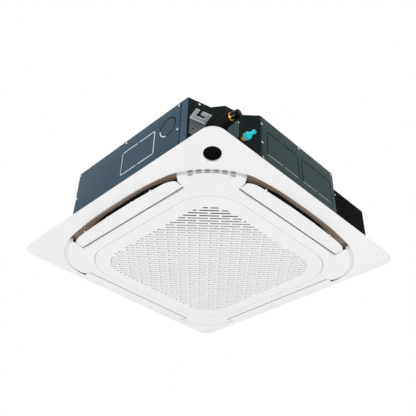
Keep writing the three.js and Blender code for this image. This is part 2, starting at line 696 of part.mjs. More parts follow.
function buildFan() {
  const bossBottom = fanTop - hubDepth;
  const bore = shaftRadius + gap;
  const hub = turned([
    [bore, bossBottom], [hubBoss, bossBottom], [hubBoss, bossBottom + 2 * fanWall],
    [motorRadius + 16, bossBottom + 14], [motorRadius + 26, fanTop - fanWall], [fanRadius, fanTop - fanWall],
    [fanRadius, fanTop], [motorRadius + 24, fanTop], [motorRadius + 13, bossBottom + 17],
    [hubBoss - 2, bossBottom + 10], [bore, bossBottom + 10],
  ], 32);
  const shroudTop = fanBottom + shroudRise;
  const collar = fanBottom + shroudRise * 0.4;
  const shoulder = fanBottom + shroudRise * 0.75;
  const shroudReach = fanRadius - fanInlet;
  const collarRadius = fanInlet + shroudReach * collarShare;
  const shoulderRadius = fanInlet + shroudReach * shoulderShare;
  const shroud = (offset) => [
    [fanInlet + offset, fanBottom], [collarRadius + offset, collar],
    [shoulderRadius, shoulder - offset], [fanRadius, shroudTop - offset],
  ];
  const ring = turned([...shroud(fanWall), ...shroud(0).reverse()], 32);
  const blades = Array.from({ length: bladeCount }, (_, i) => {
    const outline = new THREE.Shape();
    outline.moveTo(0, 0);
    outline.quadraticCurveTo(bladeChord * 0.5, bladeThickness * 3.2, bladeChord, bladeThickness * 1.6);
    outline.quadraticCurveTo(bladeChord * 0.5, bladeThickness * 1.4, 0, -bladeThickness * 0.8);
    const blade = slab(outline, collar + 2 * fanWall, fanTop - fanWall / 2, 4);
    const start = fanRadius - bladeChord * Math.cos(bladeSweep) - bladeInset;
    blade.rotateZ(bladeSweep).translate(start, -bladeChord * 0.42, 0);
    return blade.rotateZ(i * 2 * Math.PI / bladeCount);
  });
  const below = fanBottom - 5;
  const beyond = fanRadius + bladeChord;
  const spareRoom = turned([
    [fanRadius - 1, below], [beyond, below], [beyond, fanTop + 5], [fanRadius, fanTop + 5],
    [fanRadius, shroudTop - fanWall], [shoulderRadius, shoulder - fanWall],
    [collarRadius + fanWall, collar], [collarRadius + fanWall, below],
  ], 32);
  add('turbo_fan', join(hub, ring, ...blades.map((blade) => cut(blade, spareRoom))), whitePlastic);

  const nutTop = bossBottom - gap;
  const nutBottom = nutTop - nutHeight;
  add('motor_shaft', rodZ(shaftRadius, nutBottom - shaftEnd, motorBottom - gap, 0, 0, 16), steel);
  const nut = join(
    rodZ(nutAcross / Math.sqrt(3), nutBottom, nutTop - nutFlangeThickness + 0.5, 0, 0, 6),
    rodZ(nutFlange, nutTop - nutFlangeThickness, nutTop, 0, 0, 24),
  );
  add('fan_nut', cut(nut, rodZ(shaftRadius + gap, nutBottom - 1, nutTop + 1, 0, 0, 16)), steel);

  const motorTop = motorBottom + motorHeight;
  const motor = turned([
    [0, motorBottom], [motorRadius - motorRound, motorBottom], [motorRadius, motorBottom + motorRound],
    [motorRadius, motorTop - motorRound], [motorRadius - motorRound, motorTop], [0, motorTop],
  ], 24);
  const foot = motorFoot / 2;
  const plate = box(-foot, foot, -foot, foot, innerTop - gap - motorPlate, innerTop - gap);
  add('fan_motor', join(motor, plate), steel);
}

function buildDrain() {
  const floor = panFloor + gap;
  const px = casingHalf - pumpX;
  const py = pumpY - casingHalf;
  const pumpTop = floor + pumpHeight;
  const spigot = px + pumpRadius + spigotLength;
  add('drain_pump', join(
    rodZ(pumpIntake, floor, floor + pumpIntakeHeight + 1, px, py, 20),
    rodZ(pumpRadius, floor + pumpIntakeHeight, pumpTop, px, py, 24),
    box(px - pumpPlateHalf, px + pumpPlateHalf, py - pumpPlateWidth / 2, py + pumpPlateWidth / 2,
      pumpTop - pumpPlate, pumpTop),
    rodX(hoseRadius - 1, px, spigot, py, socketZ, 16),
  ), whitePlastic);
  const socketStart = pipeRecess[3][0] - socketInside;
  const route = new THREE.CatmullRomCurve3([
    new THREE.Vector3(spigot + gap, py, socketZ),
    new THREE.Vector3(spigot + hoseLead, py, socketZ),
    new THREE.Vector3(socketStart - hoseLead, socketY, socketZ),
    new THREE.Vector3(socketStart - gap, socketY, socketZ),
  ]);
  const round = new THREE.Shape();
  round.absarc(0, 0, hoseRadius, 0, 2 * Math.PI, false);
  const hose = new THREE.ExtrudeGeometry(round, { steps: 8, extrudePath: route, curveSegments: 6 });
  add('drain_hose', hose, blackPlastic);
  add('drain_socket', cut(
    rodX(socketRadius, socketStart, casingHalf + socketReach, socketY, socketZ, 20),
    rodX(socketBore, socketStart + socketFloor, casingHalf + socketReach + 1, socketY, socketZ, 20),
  ), whitePlastic);
  const fx = casingHalf - floatX;
  const fy = floatY - casingHalf;
  const collar = floor + floatFoot;
  const stop = collar + floatHeight + floatTravel + gap;
  add('float_guide', join(
    rodZ(floatFootRadius, floor, collar, fx, fy, 16),
    rodZ(floatStem, collar - 1, stop + floatStop, fx, fy, 12),
    rodZ(floatStop, stop, stop + floatStop / 2, fx, fy, 16),
  ), whitePlastic);
  add('float', cut(
    rodZ(floatRadius, collar + gap, collar + floatHeight, fx, fy, 20),
    rodZ(floatStem + slack / 2, collar - 1, collar + floatHeight + 1, fx, fy, 12),
  ), blackPlastic);
}

// ---------- electrical box ----------
function buildElectrics() {
  const base = boxLine + gap * Math.SQRT2;
  const near = base - boxFace;
  const plan = [[boxFace, near], [boxFace, boxFar], [base - boxFar, boxFar]];
  const shell = cut(
    slab(shapeOf(plan), boxBottom, boxTop),
    slab(shapeOf(inset(plan, sheet)), boxBottom + sheet, boxTop - sheet),
    box(boxFace - 2 * sheet, boxFace + 1, near + boxLip, boxFar - sheet * 2,
      boxBottom + sheet * 2.5, boxTop - sheet * 2.5),
  );
  add('electrical_box', shell, blackSheet);
  const cover = box(boxFace + gap, boxFace + gap + sheet, near + 1, boxFar, boxBottom, boxTop);
  add('electrical_box_cover', cover, blackSheet);
  // in the turned frame x runs along the slanted wall and -y points into the box
  const wallMiddle = base / 2;
  const place = (geometry) => geometry.rotateZ(3 * Math.PI / 4).translate(wallMiddle, wallMiddle, 0);
  const back = -(sheet + gap);
  const face = back - boardStand;
  const half = (boxFar - near) / Math.SQRT2 - boardInset;
  const low = boxBottom + boardLift;
  const onBoard = (x0, x1, depth, z0, z1) => box(half * x0, half * x1,
    back - depth, face - boardThickness / 2, low + boardHeight * z0, low + boardHeight * z1);
  const standoffs = [-1, 1].flatMap((x) => [standoffInset, boardHeight - standoffInset].map((z) =>
    rodY(standoffRadius, face - boardThickness / 2, back, x * (half - standoffInset), low + z, 10)));
  const board = join(
    box(-half, half, face - boardThickness, face, low, low + boardHeight),
    ...standoffs,
    onBoard(-0.78, -0.22, partDepth, 0.1, 0.55),
    onBoard(0.1, 0.45, partDepth - 4, 0.2, 0.46),
    onBoard(0.5, 0.82, partDepth - 10, 0.55, 0.85),
  );
  add('control_board', place(board), circuitGreen);
  const block = box(-terminalHalf, terminalHalf, back - terminalDepth, back,
    boxBottom + terminalLift, boxBottom + terminalLift + terminalHeight);
  add('terminal_block', place(block), blackPlastic);
}

// ---------- panel ----------
function buildPanel() {
  const frame = frameRing([
    [rimLine, 0, level(rimBottom)],
    [rimLine, 0, level(rimTop)],
    [rimLine, -wall, level(rimTop)],
    [rimLine, -wall, level(rimBottom + wall)],
    [openingLine, wall, (angle) => openingHeight(angle) + wall],
    [openingLine, wall, (angle) => lipHeightAt(angle) + 1],
    [ductLine, wall, level(ductTop)],
    [ductLine, 0, level(ductTop)],
    [openingLine, 0, lipHeightAt],
    [openingLine, 0, openingHeight],
  ]);
  // the window lies almost level in the slope of the near corner
  const near = -Math.PI / 4;
  const share = (rimLine(near) - sensorOffset * Math.SQRT2) / (rimLine(near) - openingLine(near));
  const tilt = new THREE.Matrix4().makeRotationAxis(new THREE.Vector3(1, 1, 0).normalize(),
    -sensorTilt * Math.PI / 180);
  const settle = (geometry) => geometry.applyMatrix4(tilt)
    .translate(sensorOffset, -sensorOffset, rimBottom - openingCornerDrop * share + sensorLift);
  const pocket = settle(rodZ(sensorRadius + gap, -rimHeight, rimHeight + sensorDepth, 0, 0, 28));
  add('panel_outer_frame', cut(frame, pocket), whitePlastic);
  add('sensor_window', settle(rodZ(sensorRadius, -sensorProud, sensorDepth, 0, 0, 28)), blackPlastic);
  const boardHalf = sensorRadius - sensorMargin;
  add('sensor_board', settle(box(-boardHalf, boardHalf, -boardHalf, boardHalf,
    sensorDepth + gap, sensorDepth + gap + boardThickness)), circuitGreen);

  const sealInner = 2 - sealWidth / 3;
  const seal = frameRing([
    [ductLine, sealInner, level(ductTop + gap)],
    [ductLine, sealInner + sealWidth, level(ductTop + gap)],
    [ductLine, sealInner + sealWidth, level(casingBottom - gap)],
    [ductLine, sealInner, level(casingBottom - gap)],
  ], 40);
  add('panel_seal', seal, blackFoam);
}

const ductBoxes = (grow) => [0, 1, 2, 3].map((k) =>
  box(ductInner - grow, rimHalf, -ductHalfLength - grow, ductHalfLength + grow, -panelDepth, casingTop)
    .rotateZ(k * Math.PI / 2));

function buildCentre() {
  const rings = [0, 0.35, 0.7, 1];
  const between = (t) => (angle) => cushionLine(angle) + (doorLine(angle) - cushionLine(angle)) * t;
  const skin = (raise, sideways = 0) => rings.map((t) =>
    [between(t), sideways * (1 - 2 * t), (angle) => domeHeight(t, angle) + raise]);
  const webTop = (angle) => cushionEdgeHeight(angle) + grooveDepth + wall;
  const tray = frameRing([
    ...skin(0).reverse(),
    [cushionLine, 0, webTop],
    [doorLine, 0, level(ductTop)],
  ]);
  const hollow = frameRing([
    [doorLine, wall, (angle) => domeHeight(1, angle) + wall],
    ...skin(wall, -wall).slice(0, 3).reverse(),
    [cushionLine, -wall, level(ductTop + 5)],
    [doorLine, wall, level(ductTop + 5)],
  ]);
  const openMiddle = frameRing([
    [doorLine, -20, level(lipHeight)],
    [doorLine, wall + 1, level(lipHeight)],
    [doorLine, wall + 1, level(ductTop + 5)],
    [doorLine, -20, level(ductTop + 5)],
  ]);
  const web = frameRing([
    [cushionLine, -1, (angle) => cushionEdgeHeight(angle) + grooveDepth],
    [openingLine, -gap, (angle) => cushionEdgeHeight(angle) + grooveDepth],
    [openingLine, -gap, webTop],
    [cushionLine, -1, webTop],
  ]);
  const spread = (boxes) => boxes.map(solidOf).reduce((sum, solid) => sum.add(solid));
  const ducts = spread(ductBoxes(0));
  const kept = spread(ductBoxes(ductEndWall));
  const hollowed = solidOf(hollow).subtract(kept);
  let centre = solidOf(tray).subtract(hollowed).subtract(solidOf(openMiddle).subtract(kept));
  centre = centre.add(solidOf(web)).subtract(ducts);

  const near = -Math.PI / 4;
  const ventRadius = cushionLine(near) + grooveWidth / 2;
  const cornerRadius = (openingCorner + cushionCorner) / 2;
  for (let i = 0; i < ventCount; i++) {
    const turn = (i - (ventCount - 1) / 2) * ventPitch / cornerRadius;
    const vent = box(cornerRadius - grooveWidth / 2 + 1, cornerRadius + grooveWidth / 2 - 2,
      -ventWidth / 2, ventWidth / 2, lipHeight, ductTop);
    const placed = vent.rotateZ(turn).translate(ventRadius - cornerRadius, 0, 0).rotateZ(near);
    centre = centre.subtract(solidOf(placed));
  }
  for (let k = 0; k < 4; k++) {
    for (const end of [-ductHalfLength - ductEndWall, ductHalfLength]) {
      const [from, to] = [end - sheet - slack, end + ductEndWall + sheet + slack];
      const bore = rodY(vanePin + slack, from, to, vaneAxis, vaneAxisHeight, 12);
      centre = centre.subtract(solidOf(bore.rotateZ(k * Math.PI / 2)));
    }
  }
  for (const ear of hingeEars()) centre = centre.add(solidOf(ear));
  for (const room of hingeRooms()) centre = centre.subtract(solidOf(room));
  add('panel_centre_frame', geometryOf(centre), whitePlastic);
}

// the door's barrels turn between ears in the edge of the centre frame
const hingePlaces = [-hingeOffset, hingeOffset];

function hingeEars() {
  const half = barrelLength / 2 + gap;
  return hingePlaces.map((x) => box(x - half - earLength, x + half + earLength, doorHalf + gap,
    doorAxis + barrelRadius + wall, gap, doorAxisHeight + barrelRadius));
}

function hingeRooms() {
  const half = barrelLength / 2 + gap;
  const reach = half + earLength + 1;
  return hingePlaces.flatMap((x) => [
    box(x - half, x + half, doorHalf - wall, doorAxis + barrelRadius + slack, -1, lipHeight + 1),
    rodX(hingePin + gap, x - reach, x + reach, doorAxis, doorAxisHeight, 12),
  ]);
}

// rows of slots along the diagonal, each row shifted by half a slot from the one before
function grilleSlots() {
  const field = bowedSquare(slotHalf, straight, slotCorner);
  const inside = (u, v) => Math.hypot(u, v) < field(Math.atan2(v, u) + Math.PI / 4);
  const reachAt = (v) => {
    let reach = 0;
    while (inside(reach + 1, v)) reach += 1;
    return reach;
  };
  const period = slotLength + slotRib;
  const rows = Math.floor((slotHalf * Math.SQRT2 - slotCorner * (Math.SQRT2 - 1)) / slotPitch);
  const across = Math.ceil(slotHalf * Math.SQRT2 / period);
  const slots = [];
  for (let row = -rows; row <= rows; row++) {
    const v = row * slotPitch;
    const reach = Math.min(reachAt(v - slotWidth / 2), reachAt(v + slotWidth / 2));
    const shift = row % 2 ? period / 2 : 0;
    for (let n = -across; n <= across; n++) {
      const from = Math.max(n * period + shift + slotRib / 2, -reach);
      const to = Math.min((n + 1) * period + shift - slotRib / 2, reach);
      if (to - from < slotRib) continue;
      const slot = box(from, to, v - slotWidth / 2, v + slotWidth / 2, -1, doorThickness + 1);
      slots.push(slot.rotateZ(Math.PI / 4));
    }
  }
  return slots;
}

function buildDoor() {
  const door = new THREE.Group();
  unit.add(door);
  const plate = slab(outlineShape(doorLine, -doorGap), 0, doorThickness);
  const half = barrelLength / 2;
  const hingeEdge = doorHalf - doorGap - armLap;
  const arms = hingePlaces.map((x) =>
    box(x - half, x + half, hingeEdge, doorAxis, 0, doorThickness));
  const barrels = hingePlaces.map((x) =>
    rodX(barrelRadius, x - half, x + half, doorAxis, doorAxisHeight, 16));
  const bores = hingePlaces.map((x) =>
    rodX(hingePin + slack / 2, x - half - 1, x + half + 1, doorAxis, doorAxisHeight, 12));
  add('intake_grille', cut(join(plate, ...arms, ...barrels), ...grilleSlots(), ...bores), whitePlastic, door);

  const filterHalf = slotHalf + filterMargin;
  const filterLine = bowedSquare(filterHalf, straight, slotCorner);
  const filterBottom = doorThickness + gap;
  const filter = slab(outlineShape(filterLine, 0, 48), filterBottom, filterBottom + filterThickness);
  add('air_filter', filter, greyPlastic, door);
  [-latchOffset, latchOffset].forEach((x, i) => {
    const low = lipHeight + gap;
    const tip = doorGap - doorHalf;
    const body = join(
      box(x - latchWidth / 2, x + latchWidth / 2, tip + latchSetback,
        tip + latchSetback + latchDepth, doorThickness + gap, low + latchStep),
      box(x - latchTongue / 2, x + latchTongue / 2, tip + 2, tip + latchTongue + 2,
        low, low + latchGrip),
    );
    add(`grille_latch_${i + 1}`, body, greyPlastic, door);
  });
  hingePlaces.forEach((x, i) => {
    const reach = barrelLength / 2 + gap + earLength;
    const pin = rodX(hingePin, x - reach, x + reach, doorAxis, doorAxisHeight, 12);
    add(`hinge_pin_${i + 1}`, pin, steel);
  });
}

// a vane as it lies closed, inner edge along Y, then tilted about its pins
function vaneGeometry() {
  const ends = vaneHalfLength;
  const outer = (y) => {
    const past = Math.max(0, Math.abs(y) - ends + vaneCornerLength) / vaneCornerLength;
    return cushionHalf - cushionBow + Math.sqrt(cushionBow ** 2 - y ** 2) - vaneAxis
      - vaneCornerDepth * (1 - Math.sqrt(1 - past ** 2));
  };
  const outline = [[-vanePivot, -ends]];
  for (let i = 0; i <= 16; i++) {
    const y = -ends * Math.cos(i / 16 * Math.PI);
    outline.push([outer(y), y]);
  }
  outline.push([-vanePivot, ends]);
  const plate = slab(shapeOf(outline), -vaneBead, vaneThickness - vaneBead);
  const bead = rodY(vaneBead, -ends, ends, 0, 0, 12);
  const pinEnd = ductHalfLength + pinReach;
  const pins = rodY(vanePin, -pinEnd, pinEnd, 0, 0, 12);
  return join(plate, bead, pins);
}

function buildVanes() {
  for (let k = 0; k < 4; k++) {
    const turned = new THREE.Group();
    turned.rotation.z = k * Math.PI / 2;
    unit.add(turned);
    const vane = add(`vane_${k + 1}`, vaneGeometry(), whitePlastic, turned);
    vane.position.set(vaneAxis, 0, vaneAxisHeight);
    vane.rotation.y = -vaneRestTilt * Math.PI / 180;
    const from = ductHalfLength + ductEndWall + gap;
    const height = vaneAxisHeight + stepperOffset;
    const body = vaneAxis - stepperInset;
    const stepper = join(
      rodY(stepperRadius, from, from + stepperDepth, body, height, 20),
      box(body - stepperRadius, vaneAxis + vanePin, from, from + sheet, vaneAxisHeight, height),
      rodY(vanePin, ductHalfLength + pinReach + gap, from + 1, vaneAxis, vaneAxisHeight, 12),
    );
    add(`vane_motor_${k + 1}`, stepper, greyPlastic, turned);
  }
}

buildCasing();
buildBrackets();
buildCoil();
buildPan();
buildBell();
buildFan();
buildDrain();
buildElectrics();
buildPanel();
buildCentre();
buildDoor();
buildVanes();

export default unit;
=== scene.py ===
import math

import bmesh
import bpy
import numpy as np
from mathutils import Matrix, Vector


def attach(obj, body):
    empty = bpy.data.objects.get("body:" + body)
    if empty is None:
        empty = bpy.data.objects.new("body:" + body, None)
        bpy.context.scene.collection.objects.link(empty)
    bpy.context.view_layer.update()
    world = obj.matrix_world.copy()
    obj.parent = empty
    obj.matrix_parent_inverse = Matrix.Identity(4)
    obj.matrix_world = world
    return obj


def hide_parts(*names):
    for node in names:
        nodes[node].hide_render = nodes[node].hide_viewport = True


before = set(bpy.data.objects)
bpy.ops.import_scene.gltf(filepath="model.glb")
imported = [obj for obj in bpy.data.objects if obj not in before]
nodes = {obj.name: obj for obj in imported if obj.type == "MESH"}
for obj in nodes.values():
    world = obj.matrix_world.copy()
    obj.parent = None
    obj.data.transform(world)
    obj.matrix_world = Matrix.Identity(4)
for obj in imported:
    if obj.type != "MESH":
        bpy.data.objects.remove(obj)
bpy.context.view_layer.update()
print("frame loaded,", len(nodes), "nodes")

mm = 0.001  # sizes are worked out in millimetres and turned into metres when a mesh is made
axisGap = 0.01  # a turned shape starts this far from its axis, and closes there when its points are merged
mergeGap = 0.00002  # points of a mesh that lie closer than this, in metres, become one
sharpAngle = 34  # faces that meet at more degrees than this keep a hard edge

# a shape is (points, faces) or (points, faces, marks); a mark is the number of a face's finish in its piece


def gridFaces(rows, columns, wrapRows=False, wrapColumns=False):
    # quads between neighbouring rows and columns of a grid of points
    r = np.arange(rows if wrapRows else rows - 1)
    c = np.arange(columns if wrapColumns else columns - 1)
    r, c = (g.ravel() for g in np.meshgrid(r, c, indexing="ij"))
    r2, c2 = (r + 1) % rows, (c + 1) % columns
    return np.stack([r * columns + c, r * columns + c2, r2 * columns + c2, r2 * columns + c], 1).tolist()


def tubeFaces(rows, columns):
    # a closed outline repeated row by row, with a flat cap over the first row and over the last
    caps = [list(range(columns))[::-1], [(rows - 1) * columns + i for i in range(columns)]]
    return gridFaces(rows, columns, False, True) + caps


def joinShapes(*shapes):
    # shapes put one after another: their points in one array, their faces counted on from it
    points, faces, marks, base = [], [], [], 0
    for shape in shapes:
        points.append(np.asarray(shape[0], float))
        faces += [[base + i for i in f] for f in shape[1]]
        marks += list(shape[2]) if len(shape) > 2 else [0] * len(shape[1])
        base += len(shape[0])
    return np.concatenate(points), faces, marks


def moved(shape, x=0, y=0, z=0, turn=0, tilt=0):
    # tilted by b about Y (x cos b + z sin b, z cos b - x sin b), turned by a about Z, in degrees, then shifted
    a, b = math.radians(turn), math.radians(tilt)
    p = np.asarray(shape[0], float)
    p = np.stack([p[:, 0] * math.cos(b) + p[:, 2] * math.sin(b), p[:, 1],
                  -p[:, 0] * math.sin(b) + p[:, 2] * math.cos(b)], 1)
    p = np.stack([p[:, 0] * math.cos(a) - p[:, 1] * math.sin(a),
                  p[:, 0] * math.sin(a) + p[:, 1] * math.cos(a), p[:, 2]], 1)
    return (p + [x, y, z], *shape[1:])


def onFourSides(*shapes):
    # the shapes at the right, rear, left and front: turned by 0, 90, 180 and 270 degrees
    return [moved(shape, turn=90 * k) for k in range(4) for shape in shapes]


def alongX(shape):
    # a shape made about Z is laid along X: (x, y, z) becomes (z, x, y)
    return (np.asarray(shape[0], float)[:, [2, 0, 1]], *shape[1:])


def alongY(shape):
    # and along Y: (x, y, z) becomes (y, z, x)
    return (np.asarray(shape[0], float)[:, [1, 2, 0]], *shape[1:])


def marked(shape, number):
    # every face gets the same mark
    return shape[0], shape[1], [number] * len(shape[1])


def lathe(profile, segments=48, ring=False, radiusAt=None):
    # [radius, height] points carried once round Z: x = r cos a, y = r sin a, where r is the radius times
    # radiusAt(a, height); the profile of a ring joins up with itself, and any other has flat ends
    profile = np.asarray(profile, float)
    angle = np.arange(segments) / segments * 2 * np.pi
    r = profile[:, :1] * np.ones(segments)
    if radiusAt is not None:
        r = r * radiusAt(angle[None, :], profile[:, 1:])
    z = profile[:, 1:] * np.ones(segments)
    points = np.stack([r * np.cos(angle), r * np.sin(angle), z], -1).reshape(-1, 3)
    return points, gridFaces(len(profile), segments, True, True) if ring else tubeFaces(len(profile), segments)


def boxLoop(x0, x1, y0, y1):
    # the four corners of a rectangle, anticlockwise
    return np.array([[x0, y0], [x1, y0], [x1, y1], [x0, y1]], float)


def roundLoop(corners, radius, steps=6):
    # a closed outline whose corners are arcs, by one radius or one for each corner: an arc's centre lies
    # radius / sin(half angle) along the bisector, its ends radius / tan(half angle) along the two sides, and its
    # points are the two ends in shares of sin((1 - t) * span) and sin(t * span)
    corners = np.asarray(corners, float)
    radii = np.zeros(len(corners)) + radius
    before, after = np.roll(corners, 1, 0) - corners, np.roll(corners, -1, 0) - corners
    a = before / np.linalg.norm(before, axis=1)[:, None]
    b = after / np.linalg.norm(after, axis=1)[:, None]
    half = np.arccos(np.clip((a * b).sum(1), -1, 1)) / 2
    middle = (a + b) / np.maximum(np.linalg.norm(a + b, axis=1), 1e-9)[:, None]
    centre = corners + middle * (radii / np.sin(half))[:, None]
    start = corners + a * (radii / np.tan(half))[:, None] - centre
    end = corners + b * (radii / np.tan(half))[:, None] - centre
    span = (np.pi - 2 * half)[:, None]
    t = np.linspace(0, 1, steps + 1)[None]
    whole = np.maximum(np.sin(span), 1e-9)
    startShare, endShare = np.sin((1 - t) * span) / whole, np.sin(t * span) / whole
    arcs = centre[:, None] + startShare[..., None] * start[:, None] + endShare[..., None] * end[:, None]
    return np.concatenate([arc if r > 0 else corner[None] for arc, r, corner in zip(arcs, radii, corners)])


def insetLoop(loop, distance):
    # the outline moved inwards along the mean of its two neighbouring edge normals
    before = loop - np.roll(loop, 1, 0)
    after = np.roll(loop, -1, 0) - loop
    before /= np.linalg.norm(before, axis=1)[:, None]
    after /= np.linalg.norm(after, axis=1)[:, None]
    a = np.stack([-before[:, 1], before[:, 0]], 1)
    b = np.stack([-after[:, 1], after[:, 0]], 1)
    scale = distance / (1 + (a * b).sum(1))
    return loop + (a + b) * scale[:, None]


def plate(loop, steps):
    # the outline (anticlockwise) repeated at each [inset, height], with flat caps on the first and the last
    rows = [np.column_stack([insetLoop(loop, d), np.full(len(loop), z)]) for d, z in steps]
    return np.concatenate(rows), tubeFaces(len(rows), len(loop))


def prism(loop, low, high):
    # the outline carried straight up
    return plate(loop, [[0, low], [0, high]])


def softPlate(loop, low, high, edge=0.5, steps=3):
    # a plate whose edges are quarter circles below and above: inset edge * (1 - sin a), height edge * (1 - cos a)
    t = np.linspace(0, np.pi / 2, steps + 1)
    below = [[edge * (1 - math.sin(a)), low + edge * (1 - math.cos(a))] for a in t]
    above = [[edge * (1 - math.cos(a)), high - edge * (1 - math.sin(a))] for a in t]
    return plate(loop, below + above)


def block(x0, x1, y0, y1, z0, z1, edge=0.6, corner=None):
    # a box with softened edges; its upright corners may have a radius of their own
    return softPlate(roundLoop(boxLoop(x0, x1, y0, y1), edge if corner is None else corner, 4), z0, z1, edge)


def plainBox(x0, x1, y0, y1, z0, z1):
    # a box with sharp edges
    return prism(boxLoop(x0, x1, y0, y1), z0, z1)


def rod(radius, z0, z1, edge=0.5, segments=32):
    # a turned rod whose ends are eased over the length of its edge
    soft = edge * 0.3
    return lathe([[axisGap, z0], [radius - edge, z0], [radius - soft, z0 + soft], [radius, z0 + edge],
                  [radius, z1 - edge], [radius - soft, z1 - soft], [radius - edge, z1], [axisGap, z1]], segments)


def hexNut(across, height, chamfer=1.2, bore=0.0, coneStart=0.96, coneSlope=1.9, segments=60):
    # a six-sided rod cut by a cone at both ends: the radius is the smaller of across / 2 / cos(bearing from the
    # nearest flat's middle) and coneStart * across / 2 + coneSlope * distance from the end
    angle = np.arange(segments) / segments * 2 * np.pi
    flat = across / 2 / np.cos((angle + np.pi / 6) % (np.pi / 3) - np.pi / 6)
    z = np.concatenate([np.linspace(0, chamfer, 4), np.linspace(height - chamfer, height, 4)])
    cone = across / 2 * coneStart + np.minimum(z, height - z) * coneSlope
    inner = np.full((1, segments), max(bore, axisGap))
    r = np.concatenate([inner, np.minimum(flat[None], cone[:, None]), inner])
    z = np.concatenate([[0], z, [height]])
    points = np.stack([r * np.cos(angle), r * np.sin(angle), z[:, None] * np.ones(segments)], -1)
    faces = gridFaces(len(z), segments, True, True) if bore > 0 else tubeFaces(len(z), segments)
    return points.reshape(-1, 3), faces


def makeMesh(name, shape):
    # a closed mesh in metres with its marks as material numbers and its faces pointing outwards
    points, faces, marks = joinShapes(shape)
    mesh = bpy.data.meshes.new(name)
    mesh.from_pydata((points * mm).tolist(), [], faces)
    mesh.polygons.foreach_set("material_index", marks)
    solid = bmesh.new()
    solid.from_mesh(mesh)
    bmesh.ops.remove_doubles(solid, verts=solid.verts, dist=mergeGap)
    bmesh.ops.recalc_face_normals(solid, faces=solid.faces)
    solid.to_mesh(mesh)
    solid.free()
    mesh.update()
    return mesh


def putInScene(name, data):
    # a new object, at the origin like every finished piece
    thing = bpy.data.objects.new(name, data)
    bpy.context.scene.collection.objects.link(thing)
    return thing


def joins(*shapes):
    # work for carve: shapes to add
    return [("UNION", shape) for shape in shapes]


def cuts(*shapes):
    # work for carve: shapes to take away
    return [("DIFFERENCE", shape) for shape in shapes]


def carve(piece, work):
    # booleans one after another, each applied at once; the exact solver takes over where the fast one fails
    for operation, shape in work:
        cutter = putInScene("cutter", makeMesh("cutter", shape))
        for slot in piece.material_slots:
            cutter.data.materials.append(slot.material)
        step = piece.modifiers.new("carve", "BOOLEAN")
        step.object = cutter
        step.operation = operation
        step.material_mode = "INDEX"
        for solver in ("MANIFOLD", "EXACT"):
            step.solver = solver
            graph = bpy.context.evaluated_depsgraph_get()
            result = bpy.data.meshes.new_from_object(piece.evaluated_get(graph))
            if len(result.polygons) > 2:
                break
        piece.modifiers.clear()
        piece.data = result
        bpy.data.objects.remove(cutter)


def carved(shape, work):
    # the shape after its booleans, as points and faces again
    piece = putInScene("carved", makeMesh("carved", shape))
    carve(piece, work)
    points = np.empty(len(piece.data.vertices) * 3)
    piece.data.vertices.foreach_get("co", points)
    faces = [list(p.vertices) for p in piece.data.polygons]
    bpy.data.objects.remove(piece)
    return points.reshape(-1, 3) / mm, faces


def addPiece(name, shape, finish, stands=(), body="unit", slot=None, work=()):
    # one visible piece: its mesh, its booleans, its shading, the body it rides on and the nodes it stands for
    kinds = [finish] if isinstance(finish, str) else finish
    piece = putInScene(name, makeMesh(name, shape))
    for kind in kinds:
        piece.data.materials.append(finishes[kind])
    carve(piece, work)
    piece.data.name = name
    piece.data.shade_smooth()
    piece.data.set_sharp_from_angle(angle=math.radians(sharpAngle))
    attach(piece, body)
    if stands:
        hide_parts(*stands)
    slot or slotOf[kinds[0]]


def dress(finish, *names):
    # a finish for CAD nodes whose shapes are right as they are
    for name in names:
        mesh = nodes[name].data
        if len(mesh.materials) == 0:
            mesh.materials.append(finishes[finish])
        for slot in nodes[name].material_slots:
            slot.material = finishes[finish]


def shaderColour(tone):
    # a tone of three numbers is a colour as it looks on screen, 0 to 255, and becomes linear: c / 12.92 up to
    # 0.04045, and ((c + 0.055) / 1.055) ^ 2.4 above; one number is a grey that is linear already
    if isinstance(tone, (int, float)):
        return tone, tone, tone, 1
    if not isinstance(tone, tuple) or len(tone) == 4:
        return tone
    c = np.array(tone) / 255
    return tuple(np.where(c <= 0.04045, c / 12.92, ((c + 0.055) / 1.055) ** 2.4).tolist()) + (1.0,)


class Wiring:
    # short ways to add nodes to a tree; any value may also be the output of another node

    def __init__(self, tree):
        self.tree = tree

    def node(self, kind, output, values, **settings):
        # one output of a new node, after its settings are made and its sockets set or wired
        made = self.tree.nodes.new("ShaderNode" + kind)
        for name, setting in settings.items():
            setattr(made, name, setting)
        for socket, value in values.items():
            if isinstance(value, bpy.types.NodeSocket):
                self.tree.links.new(value, made.inputs[socket])
            else:
                made.inputs[socket].default_value = value
        return made.outputs[output]

    def sums(self, operation, a, b=0):
        return self.node("Math", "Value", {0: a, 1: b}, operation=operation)

    def mixed(self, amount, a, b):
        # a where the amount is 0, b where it is 1
        return self.node("Mix", 2, {0: amount, 6: shaderColour(a), 7: shaderColour(b)}, data_type="RGBA")

    def ramp(self, value, *stops):
        # tones at places from 0 to 1, blended in between
        made = self.tree.nodes.new("ShaderNodeValToRGB")
        points = made.color_ramp.elements
        while len(points) < len(stops):
            points.new(0.5)
        for point, (place, tone) in zip(points, stops):
            point.position = place
            point.color = shaderColour(tone)
        self.tree.links.new(value, made.inputs["Fac"])
        return made.outputs["Color"]


